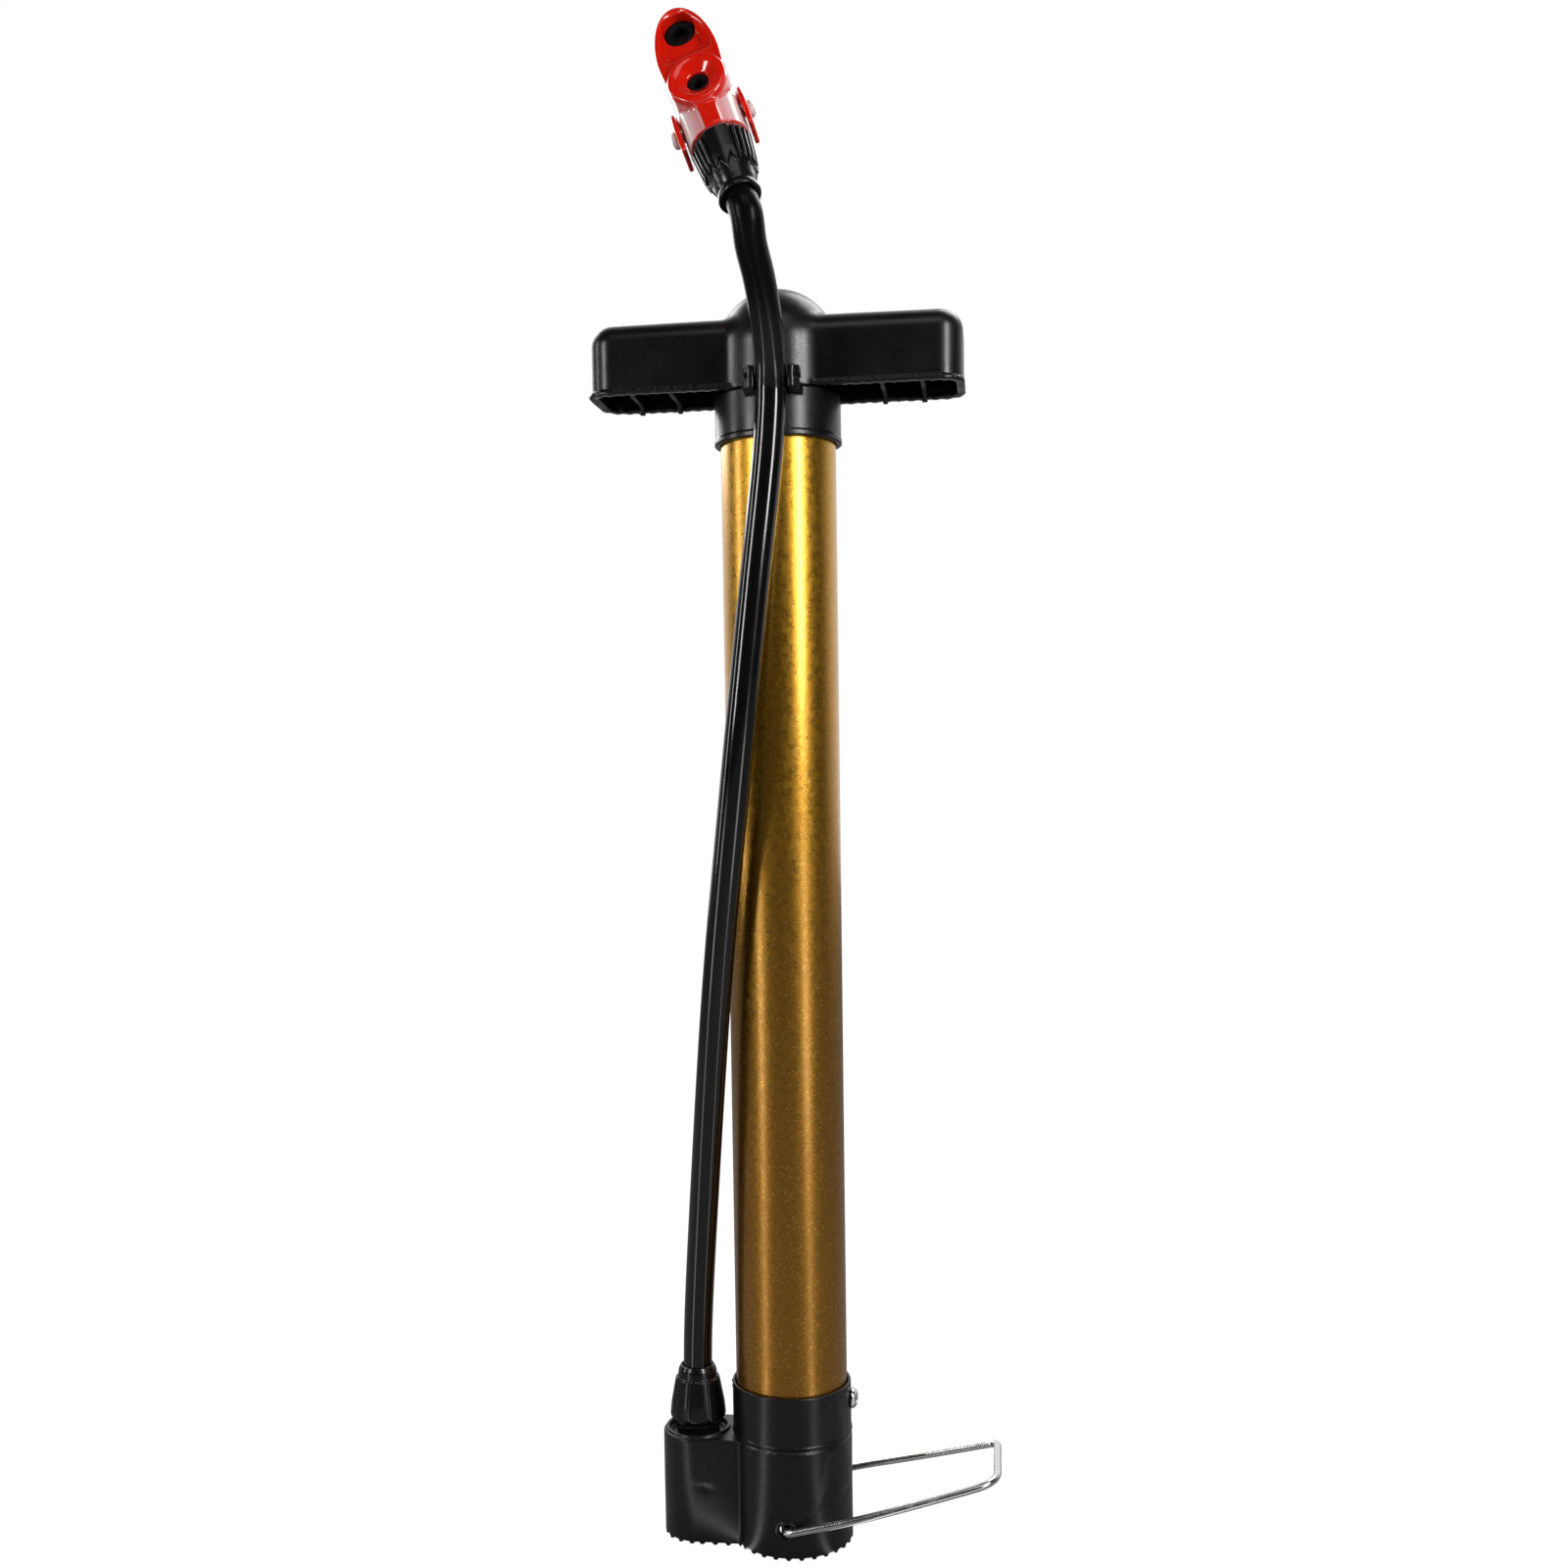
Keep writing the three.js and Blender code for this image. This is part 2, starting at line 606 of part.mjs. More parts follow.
function pistonBody() {
  const groove = PISTON_BOTTOM + 5;
  return turned(
    [
      [ROD_BORE, PISTON_BOTTOM],
      [PISTON_RADIUS, PISTON_BOTTOM],
      [PISTON_RADIUS, groove],
      [PISTON_RADIUS - 2, groove],
      [PISTON_RADIUS - 2, groove + 3],
      [PISTON_RADIUS, groove + 3],
      [PISTON_RADIUS, PISTON_TOP - 1],
      [PISTON_RADIUS - 1, PISTON_TOP],
      [ROD_BORE, PISTON_TOP],
      [ROD_BORE, PISTON_BOTTOM],
    ],
    ROUND,
  );
}

function pistonRod() {
  const shoulder = PISTON_TOP + FIT;
  return turned([
    [0, ROD_BOTTOM],
    [ROD_RADIUS, ROD_BOTTOM],
    [ROD_RADIUS, shoulder],
    [ROD_RADIUS + 1.5, shoulder],
    [ROD_RADIUS + 1.5, shoulder + 3],
    [ROD_RADIUS, shoulder + 4],
    [ROD_RADIUS, ROD_TOP],
    [0, ROD_TOP],
  ]);
}

// ---------------------------------------------------------------- hose

// The hose rises from the base, leans in front of the barrel, passes the clip and
// comes forward over the dome of the handle into the valve head.
const hosePath = new THREE.CatmullRomCurve3(
  [
    [-BOSS_OFFSET, 0, 43.4],
    [-29.7, -0.7, 66],
    [-25.2, -8, 117],
    [-18.8, -17, 179.5],
    [-11.6, -22.4, 239],
    [-5, -23.2, 295],
    [0.4, -24.3, 340],
    [1.34, -25.6, 355.9],
    [1.36, -31.8, 368.1],
    [0.47, -40.8, 379.7],
    [-0.76, -48.2, 387.2],
    [-1.25, -51.96, 393.79],
    [-3.92, -48.87, 400.96],
  ].map((place) => new THREE.Vector3(...place)),
  false,
  "centripetal",
);
const HOSE_LENGTH = hosePath.getLength();

// Where two pieces of hose hinge, as lengths along the hose.
function hoseCut(index) {
  const run = HOSE_LENGTH - HOSE_FIRST_CUT - HOSE_LAST_CUT;
  return HOSE_FIRST_CUT + (run * index) / (HOSE_PIECES - 2);
}

function hosePiece(index) {
  const from = index === 0 ? 0 : hoseCut(index - 1) + HOSE_GAP / 2;
  const to = index === HOSE_PIECES - 1 ? HOSE_LENGTH : hoseCut(index) - HOSE_GAP / 2;
  const steps = index === HOSE_PIECES - 1 ? HOSE_STEPS_CURVED : HOSE_STEPS;
  const places = Array.from({ length: steps + 1 }, (_, i) =>
    hosePath.getPointAt((from + ((to - from) * i) / steps) / HOSE_LENGTH),
  );
  const section = new THREE.Shape();
  section.absarc(0, 0, HOSE_RADIUS, 0, 2 * Math.PI);
  const bore = new THREE.Path();
  bore.absarc(0, 0, HOSE_BORE, 0, 2 * Math.PI);
  section.holes.push(bore);
  return new THREE.ExtrudeGeometry(section, {
    extrudePath: new THREE.CatmullRomCurve3(places),
    steps,
    curveSegments: HOSE_SIDES,
    bevelEnabled: false,
  });
}

// ---------------------------------------------------------------- valve head

// In the head's own frame Z runs from the hose to the tip and the ports face -Y.
function headNipple() {
  return turned([
    [1.2, -5],
    [2.4, -5],
    [2.4, 3.6],
    [5.2, 3.8],
    [5.2, 6],
    [4.4, 6.2],
    [4.4, 22],
    [1.2, 22],
    [1.2, -5],
  ]);
}

function headHoseNut() {
  const flare = HOSE_RADIUS + 1.5;
  const body = turned(
    [
      [HOSE_RADIUS + FIT, 0],
      [flare, 0],
      [flare, 1.5],
      [flare - 0.7, 2.4],
      [HEAD_NUT_RADIUS - 0.6, 7.7],
      [HEAD_NUT_RADIUS, 9.8],
      [HEAD_NUT_RADIUS, HEAD_NUT_TOP],
      [6.7, HEAD_NUT_TOP],
      [6.7, 6],
      [5.6, 3.4],
      [HOSE_RADIUS + FIT, 3.4],
      [HOSE_RADIUS + FIT, 0],
    ],
    HEAD_NUT_RIBS,
  );
  const ribBottom = 9.3;
  const ribMiddle = (HEAD_NUT_TOP + ribBottom) / 2;
  const rib = box(0.9, 0.8, HEAD_NUT_TOP - ribBottom, HEAD_NUT_RADIUS - 0.1, 0, ribMiddle);
  const ribs = Array.from({ length: HEAD_NUT_RIBS }, (_, i) =>
    solid(rib.clone().rotateZ((i * 2 * Math.PI) / HEAD_NUT_RIBS)),
  );
  return join(solid(body), ...ribs);
}

// A round bar that points to -Y from one depth to another, at a place along the head.
function portBar(radius, from, to, place, facets = SMALL_ROUND, tipRadius = radius) {
  return solid(
    new THREE.CylinderGeometry(radius, tipRadius, to - from, facets)
      .translate(0, -(from + to) / 2, 0)
      .translate(0, 0, place),
  );
}

function headTrunk() {
  const tip = arcPoints(0, 0, 1, 0, 90, 7).map(([across, along]) => [
    HEAD_HALF_WIDTH * across,
    TIP_START + TIP_LENGTH * along,
  ]);
  const trunk = turned([[0, HEAD_BOTTOM], [HEAD_HALF_WIDTH, HEAD_BOTTOM], ...tip], 32);
  return join(solid(trunk), solid(bar(HEAD_NECK_RADIUS, HEAD_NECK_BOTTOM, HEAD_BOTTOM + 1)));
}

function headBody() {
  const face = new THREE.Shape();
  face.absellipse(0, TIP_START, HEAD_HALF_WIDTH, TIP_LENGTH, 0, Math.PI);
  face.absarc(0, PRESTA_PLACE, PRESTA_RING, Math.PI, 2 * Math.PI);
  const slab = raised(face, 0, HEAD_FACE, 10).rotateX(Math.PI / 2);
  const ring = portBar(PRESTA_RING, 0, PRESTA_FACE, PRESTA_PLACE, 32);
  const keelTop = PRESTA_PLACE - 6;
  const keelReach = HEAD_HALF_WIDTH + KEEL_HEIGHT;
  const keelMiddle = (keelTop + HEAD_BOTTOM) / 2;
  const keel = box(KEEL_WIDTH, keelReach, keelTop - HEAD_BOTTOM, 0, -keelReach / 2, keelMiddle);
  const dish = new THREE.SphereGeometry(DISH_RADIUS, 24, 16).scale(1, 1, DISH_STRETCH);
  dish.translate(0, DISH_DEPTH - HEAD_FACE - DISH_RADIUS, DISH_PLACE);
  const funnelFloor = PRESTA_FACE - FUNNEL_DEPTH;
  const pinHole = bar(PIN_RADIUS + FIT, -20, 20, 16).rotateY(Math.PI / 2);
  const shaped = cut(
    join(headTrunk(), solid(slab), ring),
    cut(solid(dish), portBar(PRESTA_RING, 0, 40, PRESTA_PLACE, 32)),
    portBar(FUNNEL_FLOOR_RADIUS, funnelFloor, PRESTA_FACE + 0.01, PRESTA_PLACE, 32, FUNNEL_RADIUS),
    portBar(FUNNEL_FLOOR_RADIUS, funnelFloor - 1, PRESTA_FACE, PRESTA_PLACE, 32),
    portBar(PRESTA_BORE, 2, funnelFloor - 0.5, PRESTA_PLACE),
    portBar(SCHRADER_BORE, 1, HEAD_FACE + 5, SCHRADER_PLACE),
    solid(bar(4.7, HEAD_NECK_BOTTOM - 1, 22.5)),
    solid(bar(1.6, 20, SCHRADER_PLACE, 12)),
    solid(pinHole.translate(0, PIN_DEPTH, PIN_PLACE)),
  );
  return join(shaped, cut(solid(keel), solid(bar(HEAD_HALF_WIDTH - 1, 0, 60, 32))));
}

function grommet(outer, inner, from, to, place) {
  return cut(portBar(outer, from, to, place), portBar(inner, from - 1, to + 1, place, 20));
}

// The thumb lever: a leaf-shaped arm on each side of the head, a link behind each arm,
// and a yoke and a pad across the back.
function headLever() {
  const arm = new THREE.Shape([
    new THREE.Vector2(LEVER_INNER + 0.1, 19.5),
    new THREE.Vector2(LEVER_OUTER - 0.2, 19.5),
    new THREE.Vector2(LEVER_OUTER, 23),
    new THREE.Vector2(LEVER_OUTER, 28),
    new THREE.Vector2(LEVER_INNER + 0.7, 33),
    new THREE.Vector2(LEVER_INNER, 28),
  ]);
  const front = raised(arm, -5, 4, 1).rotateX(Math.PI / 2);
  const back = LEVER_BACK + LEVER_THICKNESS;
  const side = new THREE.Shape([
    new THREE.Vector2(2.4, PIN_PLACE - 4.5),
    new THREE.Vector2(7.6, PIN_PLACE - 4.5),
    new THREE.Vector2(back, PIN_PLACE + 4.5),
    new THREE.Vector2(back, PIN_PLACE + 11.5),
    new THREE.Vector2(LEVER_BACK, PIN_PLACE + 11.5),
    new THREE.Vector2(2.4, PIN_PLACE + 4),
  ]);
  const link = raised(side, LEVER_INNER, LEVER_OUTER, 1);
  link.rotateX(Math.PI / 2).rotateZ(Math.PI / 2);
  const pad = raised(roundedRectangle(PAD_HALF_WIDTH, PAD_HALF_LENGTH, 5), 0, LEVER_THICKNESS, 5);
  const padSolid = solid(pad.rotateX(Math.PI / 2).translate(0, back, PAD_PLACE));
  const yokePlace = PIN_PLACE + 9.7;
  const yoke = box(2 * LEVER_OUTER, LEVER_THICKNESS, 3.6, 0, back - LEVER_THICKNESS / 2, yokePlace);
  const half = join(solid(front), solid(link));
  const pinHole = solid(bar(PIN_RADIUS + FIT, -20, 20, 16).rotateY(Math.PI / 2));
  return cut(
    join(half, half.mirror([1, 0, 0]), solid(yoke), padSolid),
    pinHole.translate([0, PIN_DEPTH, PIN_PLACE]),
  );
}

function leverPin() {
  const end = LEVER_OUTER + 1.9;
  const headStart = LEVER_OUTER + 0.2;
  const profile = [
    [0, -end],
    ...arcPoints(0, -headStart, 2.3, -60, 0, 3),
    [PIN_RADIUS, -headStart],
    [PIN_RADIUS, headStart],
    ...arcPoints(0, headStart, 2.3, 0, 60, 3),
    [0, end],
  ];
  return turned(profile, 16).rotateY(Math.PI / 2);
}

// ---------------------------------------------------------------- assembly

const pump = new THREE.Group();

function addBase(parent) {
  const screw = piece("collar_screw", collarScrew(), steel);
  screw.position.set(0, 0, SCREW_HEIGHT);
  screw.rotation.y = Math.PI / 2;
  const foot = piece("foot_wire", footWire(), steel);
  foot.position.set(0, 0, WIRE_HINGE_HEIGHT);
  foot.rotation.y = -THREE.MathUtils.degToRad(WIRE_REST_ANGLE);
  const gasketBottom = SOCKET_FLOOR + FIT;
  const gasketTop = gasketBottom + GASKET_THICKNESS;
  parent.add(
    piece("base", base(), plastic),
    piece("barrel_gasket", tube(14, COLLAR_BORE - 0.4, gasketBottom, gasketTop, ROUND), rubber),
    screw,
    foot,
  );
}

function addHoseOutlet(parent) {
  const outlet = new THREE.Group();
  outlet.position.x = -BOSS_OFFSET;
  const ballCentre = VALVE_SEAT + Math.sqrt(BALL_RADIUS ** 2 - VALVE_SEAT_RADIUS ** 2) + 0.1;
  const ball = piece("valve_ball", new THREE.SphereGeometry(BALL_RADIUS, 12, 8), rubber);
  ball.position.z = ballCentre;
  const springBottom = ballCentre + BALL_RADIUS + 0.5;
  const springTop = BASE_LEDGE - SEAT_DEPTH - 2.1;
  const spring = new Helix(2.3, springBottom, springTop, 2.5);
  outlet.add(
    ball,
    piece("valve_spring", wire(spring, 0.3, 36, 6), steel),
    piece("base_nipple", baseNipple(), brass),
    piece("base_hose_nut", baseHoseNut(), plastic),
  );
  parent.add(outlet);
}

function addBarrel(parent) {
  const wall = solid(tube(BARREL_BORE, BARREL_RADIUS, BARREL_BOTTOM, BARREL_TOP, ROUND));
  const screwHole = bar(SCREW_SHANK + FIT, 10, BARREL_RADIUS + 3, 16).rotateY(Math.PI / 2);
  const cap = piece("barrel_cap", barrelCap(), plastic);
  cap.rotation.z = THREE.MathUtils.degToRad(CLIP_TURN);
  const bushBottom = BARREL_TOP + FIT;
  const bumper = new Helix(BUMPER_RADIUS, BUMPER_BOTTOM, BARREL_TOP - 1, 4);
  parent.add(
    piece("barrel", cut(wall, solid(screwHole.translate(0, 0, SCREW_HEIGHT))), gold),
    cap,
    piece("rod_bush", tube(ROD_BORE, BUSH_RADIUS, bushBottom, CAP_TOP - 0.4), brass),
    piece("bumper_spring", wire(bumper, BUMPER_WIRE, 48, 6), steel),
  );
}

function addHandleAndPiston(parent) {
  const washerTop = PISTON_BOTTOM - 2 * FIT - 2;
  parent.add(
    piece("handle", handle(), plastic),
    piece("rod_lock_nut", hexagon(13, ROD_BORE, 357, HUB_BOTTOM - FIT), steel),
    piece("piston_rod", pistonRod(), steel),
    piece("piston_body", pistonBody(), plastic),
    piece("piston_cup", pistonCup(), rubber),
    piece("piston_washer", tube(ROD_BORE, 10, washerTop - 1.6, washerTop), steel),
    piece("piston_nut", pistonNut(), steel),
  );
}

function addHose(parent) {
  for (let i = 0; i < HOSE_PIECES; i += 1)
    parent.add(piece(`hose_${i + 1}`, hosePiece(i), hoseRubber));
}

function addValveHead(parent) {
  const head = new THREE.Group();
  head.position.set(...HEAD_PLACE);
  head.rotation.order = "YXZ";
  head.rotation.x = -THREE.MathUtils.degToRad(HEAD_LEAN_BACK);
  head.rotation.y = -THREE.MathUtils.degToRad(HEAD_LEAN_SIDE);
  head.rotation.z = THREE.MathUtils.degToRad(HEAD_TWIST);
  const pin = piece("lever_pin", leverPin(), palePlastic);
  pin.position.set(0, PIN_DEPTH, PIN_PLACE);
  head.add(
    piece("head_nipple", headNipple(), brass),
    piece("head_hose_nut", headHoseNut(), plastic),
    piece("head_body", headBody(), redPlastic),
    piece("schrader_grommet", grommet(4.45, 3.6, 2.6, HEAD_FACE - DISH_DEPTH - 0.2, SCHRADER_PLACE), rubber),
    piece("presta_grommet", grommet(4, 2.7, 2.6, PRESTA_FACE - 2.9, PRESTA_PLACE), rubber),
    piece("schrader_pin", portBar(1, 1.3, 3.6, SCHRADER_PLACE, 16), brass),
    piece("head_lever", headLever(), redPlastic),
    pin,
  );
  parent.add(head);
}

addBase(pump);
addHoseOutlet(pump);
addBarrel(pump);
addHandleAndPiston(pump);
addHose(pump);
addValveHead(pump);

export default pump;
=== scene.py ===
import math

import bpy
import numpy as np
from mathutils import Matrix


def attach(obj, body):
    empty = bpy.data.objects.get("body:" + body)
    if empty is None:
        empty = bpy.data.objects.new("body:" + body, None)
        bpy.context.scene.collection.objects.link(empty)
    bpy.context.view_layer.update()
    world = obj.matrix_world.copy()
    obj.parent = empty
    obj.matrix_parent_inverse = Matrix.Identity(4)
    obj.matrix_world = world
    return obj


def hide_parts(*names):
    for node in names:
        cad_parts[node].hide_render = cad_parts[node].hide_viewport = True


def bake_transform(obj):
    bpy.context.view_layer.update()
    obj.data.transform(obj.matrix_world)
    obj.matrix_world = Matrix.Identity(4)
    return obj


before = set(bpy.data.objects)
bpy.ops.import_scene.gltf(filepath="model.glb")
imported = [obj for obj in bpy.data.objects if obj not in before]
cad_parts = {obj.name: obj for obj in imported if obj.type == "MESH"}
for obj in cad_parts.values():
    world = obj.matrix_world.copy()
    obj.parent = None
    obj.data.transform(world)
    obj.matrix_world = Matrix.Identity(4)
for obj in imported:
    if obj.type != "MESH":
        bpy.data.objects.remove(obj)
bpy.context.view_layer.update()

# Foot air pump. Shapes are in millimetres and in the CAD frame until add_mesh() turns them into metres:
# +Z up, the hose boss towards -X, the foot wire towards +X, the valve ports facing -Y.
# The pieces of the valve head are made in the head's own frame, where s runs from the hose to the tip
# and depth is -y, and on_head() puts them in place.

MM = 0.001

# ---------------------------------------------------------------- dimensions shared with the CAD

BARREL_RADIUS = 17.5
BARREL_BORE = 16.3
BARREL_BOTTOM = 38
BARREL_TOP = 350

BASE_RADIUS = 18.9
BASE_LEDGE = 33.9
COLLAR_RADIUS = 18.75
COLLAR_BORE = 17.9
COLLAR_TOP = 51.3
SOCKET_FLOOR = 36
BOSS_OFFSET = 30.3
BOSS_RADIUS = 11.1
BOSS_WAIST = 10.8
BASE_WALL = 2.4
CAVITY_TOP = 14
POST_RADIUS = 4
TOOTH_PITCH = 4.15
TOOTH_HEIGHT = 0.6
WEB_HALF_WIDTH = 0.8
SEAT_RIM_OUTER = 10.3
SEAT_RIM_INNER = 9.3
SCREW_HEIGHT = 45.3
SCREW_HEAD = 3.25
SCREW_SHANK = 1.4
SCREW_HOLE = 1.7

WIRE_RADIUS = 1.2
WIRE_HINGE_HEIGHT = 9.4
WIRE_HOLE = 2.2
WIRE_LENGTH = 66.7
WIRE_HALF_WIDTH = 20.6
WIRE_TIP_HALF_WIDTH = 14.9
WIRE_KNEE = 22
WIRE_END = 12.5
WIRE_REST_ANGLE = 14.9
WIRE_NEAR_BEND = 7.5
WIRE_FAR_BEND = 3

CAP_RADIUS = 19.1
CAP_BOTTOM = 341.3
CAP_TOP = 355.7
CLIP_TURN = 3
CLIP_BOTTOM = 353
CLIP_TOP = 359.5
CLIP_REACH = 27.6
CLIP_INNER = 4.85
CLIP_OUTER = 8.25
CLIP_NOTCH = (355.9, 357.3)
CAP_HOLE = 6.3

ROD_RADIUS = 4
ROD_BOTTOM = 40.5
ROD_TOP = 379
ROD_COLLAR = 62.3
ROD_BORE = 4.3

HANDLE_BOTTOM = 356
HANDLE_TOP = 377.4
HANDLE_HALF_LENGTH = 56
HANDLE_HALF_DEPTH = 14.2
HANDLE_CORNER = 7.5
HANDLE_EDGE = 6
HANDLE_WALL = 2
DOME_RADIUS = 18.3
DOME_TOP = 387.4
HUB_RADIUS = 7.2
HUB_BOTTOM = 362.4
RIB_PLACES = (-44, -32, 32, 44)
RIB_HALF_WIDTH = 0.65

HOSE_RADIUS = 4.55
HOSE_FIRST_CUT = 34
HOSE_LAST_CUT = 68
HOSE_PIECES = 7
HOSE_POINTS = (
    (-BOSS_OFFSET, 0, 43.4),
    (-29.7, -0.7, 66),
    (-25.2, -8, 117),
    (-18.8, -17, 179.5),
    (-11.6, -22.4, 239),
    (-5, -23.2, 295),
    (0.4, -24.3, 340),
    (1.34, -25.6, 355.9),
    (1.36, -31.8, 368.1),
    (0.47, -40.8, 379.7),
    (-0.76, -48.2, 387.2),
    (-1.25, -51.96, 393.79),
    (-3.92, -48.87, 400.96),
)

NUT_BOTTOM = 35.6
NUT_TOP = 54.6
NUT_FOOT_RADIUS = 7.5
NUT_WIDE_RADIUS = 8.3
NUT_NECK_RADIUS = 6.3
NUT_BORE = 5.8
NUT_FLANGE_BOTTOM = 32.8
NUT_PANELS = 8

HEAD_PLACE = (-3.03, -49.9, 398.57)
HEAD_LEAN_BACK = 22
HEAD_LEAN_SIDE = 20.4
HEAD_TWIST = 2
HEAD_NUT_RADIUS = 7.5
HEAD_NUT_TOP = 18.8
HEAD_NUT_RIBS = 28
HEAD_NUT_LIP = 6.1
HEAD_HALF_WIDTH = 8.8
HEAD_FACE = 9.2
HEAD_BOTTOM = 19.1
HEAD_NECK = 6.4
NIPPLE_BORE = 4.7
TIP_START = 44.2
TIP_LENGTH = 18.7
PRESTA_PLACE = 35.2
PRESTA_FACE = 10.6
PRESTA_RING = 8.25
PRESTA_BORE = 3.1
SCHRADER_PLACE = 56.7
SCHRADER_BORE = 4.55
DISH_DEPTH = 3.1
PIN_PLACE = 32.5
PIN_DEPTH = 5.4
PIN_HOLE = 1.8
LEVER_INNER = 9.1
LEVER_OUTER = 10.6
LEVER_BACK = 9.1
LEVER_THICKNESS = 2
PAD_PLACE = 52.4
ARM_START = 19.3
ARM_END = 33.4
YOKE_END = PIN_PLACE + 11.5

# ---------------------------------------------------------------- fields
# A field is a function of x, y and z that is negative inside the solid, about a distance in millimetres.


def meet(a, b, edge=0.0):
    """The part inside both, with a rounded edge."""
    corner = np.hypot(np.maximum(a + edge, 0), np.maximum(b + edge, 0))
    return np.minimum(-edge, np.maximum(a, b)) + corner


def join(a, b, fillet=0.0):
    """Both together, with a filleted corner."""
    return -meet(-a, -b, fillet)


def cut(a, b, edge=0.0):
    """The part of a that is outside b."""
    return meet(a, -b, edge)


def between(value, low, high):
    return np.maximum(low - value, value - high)


def rounded_rectangle(x, y, half_x, half_y, corner):
    dx = np.abs(x) - half_x + corner
    dy = np.abs(y) - half_y + corner
    outside = np.hypot(np.maximum(dx, 0), np.maximum(dy, 0))
    return outside + np.minimum(np.maximum(dx, dy), 0) - corner


def smooth(share):
    """0 below 0, 1 above 1, and an S-curve between."""
    share = np.clip(share, 0, 1)
    return share * share * (3 - 2 * share)


def bell(distance, width):
    return np.exp(-((distance / width) ** 2))


def wobble(x, y, z, size, seed):
    """A smooth, slow waviness between about -1 and 1."""
    rng = np.random.default_rng(seed)
    total = np.zeros(np.shape(x))
    for _ in range(4):
        direction = rng.normal(size=3)
        direction *= 2 * np.pi / (size * np.linalg.norm(direction))
        shift = rng.uniform(0, 2 * np.pi)
        total = total + np.sin(direction[0] * x + direction[1] * y + direction[2] * z + shift)
    return total / 4


def spaced(start, *runs):
    """Grid places from start, as (end, step) runs."""
    places = [start]
    for end, step in runs:
        count = max(1, round((end - places[-1]) / step))
        places.extend(np.linspace(places[-1], end, count + 1)[1:])
    return np.array(places)


def skin(field, xs, ys, zs):
    """The surface of a field as points and quads: one point per grid cell that the surface crosses.

    The outermost layer of the grid has to be outside the solid.
    """
    grid = np.meshgrid(xs, ys, zs, indexing="ij")
    value = field(*grid)
    inside = value < 0
    total = np.zeros((value.size, 3))
    count = np.zeros(value.size)
    quads = []
    for axis in range(3):
        low = tuple(slice(None, -1) if a == axis else slice(None) for a in range(3))
        high = tuple(slice(1, None) if a == axis else slice(None) for a in range(3))
        crossed = np.argwhere(inside[low] != inside[high])
        at = tuple(crossed.T)
        start, end = value[low][at], value[high][at]
        share = start / (start - end)
        point = np.stack([g[low][at] * (1 - share) + g[high][at] * share for g in grid], 1)
        corners = []
        for du, dv in ((-1, -1), (0, -1), (0, 0), (-1, 0)):
            cell = crossed.copy()
            cell[:, (axis + 1) % 3] += du
            cell[:, (axis + 2) % 3] += dv
            corner = np.ravel_multi_index(tuple(cell.T), value.shape)
            np.add.at(total, corner, point)
            np.add.at(count, corner, 1)
            corners.append(corner)
        quad = np.stack(corners, 1)
        backwards = ~inside[low][at]
        quad[backwards] = quad[backwards, ::-1]
        quads.append(quad)
    used = np.nonzero(count)[0]
    number = np.zeros(count.size, int)
    number[used] = np.arange(used.size)
    step = min(np.diff(a).min() for a in (xs, ys, zs))
    return settle(field, total[used] / count[used, None], step), number[np.concatenate(quads)]


def settle(field, points, step):
    """Moves points onto the surface of the field."""
    reach = 0.01
    for _ in range(3):
        change = [field(*(points + d).T) - field(*(points - d).T) for d in reach * np.eye(3)]
        slope = np.stack(change, 1) / (2 * reach)
        size = np.maximum((slope**2).sum(1), 0.25)
        move = np.clip(field(*points.T) / size, -step / 2, step / 2)
        points = points - move[:, None] * slope
    return points


# ---------------------------------------------------------------- turned and swept shapes


def rounded(start, corner, end, t):
    """The point at t, from 0 to 1, of the curve that rounds a corner."""
    return (1 - t) ** 2 * start + 2 * t * (1 - t) * corner + t**2 * end


def softened(profile, radius, steps=4):
    """A profile of (x, z) points with each inner corner rounded by up to radius."""
    points = [np.array(p, float) for p in profile]
    made = [points[0]]
    for before, corner, after in zip(points, points[1:], points[2:]):
        back, ahead = before - corner, after - corner
        reach = min(radius, np.linalg.norm(back) * 0.45, np.linalg.norm(ahead) * 0.45)
        start = corner + back / max(np.linalg.norm(back), 1e-9) * reach
        end = corner + ahead / max(np.linalg.norm(ahead), 1e-9) * reach
        made.extend(rounded(start, corner, end, t) for t in np.linspace(0, 1, steps + 1))
    made.append(points[-1])
    return np.array(made)


def refined(profile, longest):
    """Adds points so that no run of the profile is longer than longest."""
    made = [profile[0]]
    for start, end in zip(profile, profile[1:]):
        count = max(1, math.ceil(np.linalg.norm(end - start) / longest))
        made.extend(start + (end - start) * i / count for i in range(1, count + 1))
    return np.array(made)


def bands(count, sides, closed):
    """Quads between rings of points. Closed joins the last ring to the first."""
    ring, side = np.meshgrid(np.arange(count if closed else count - 1), np.arange(sides), indexing="ij")
    above, beside = (ring + 1) % count, (side + 1) % sides
    corners = (ring, side), (ring, beside), (above, beside), (above, side)
    quads = np.stack([r * sides + k for r, k in corners], -1).reshape(-1, 4)
    return [tuple(q) for q in quads]


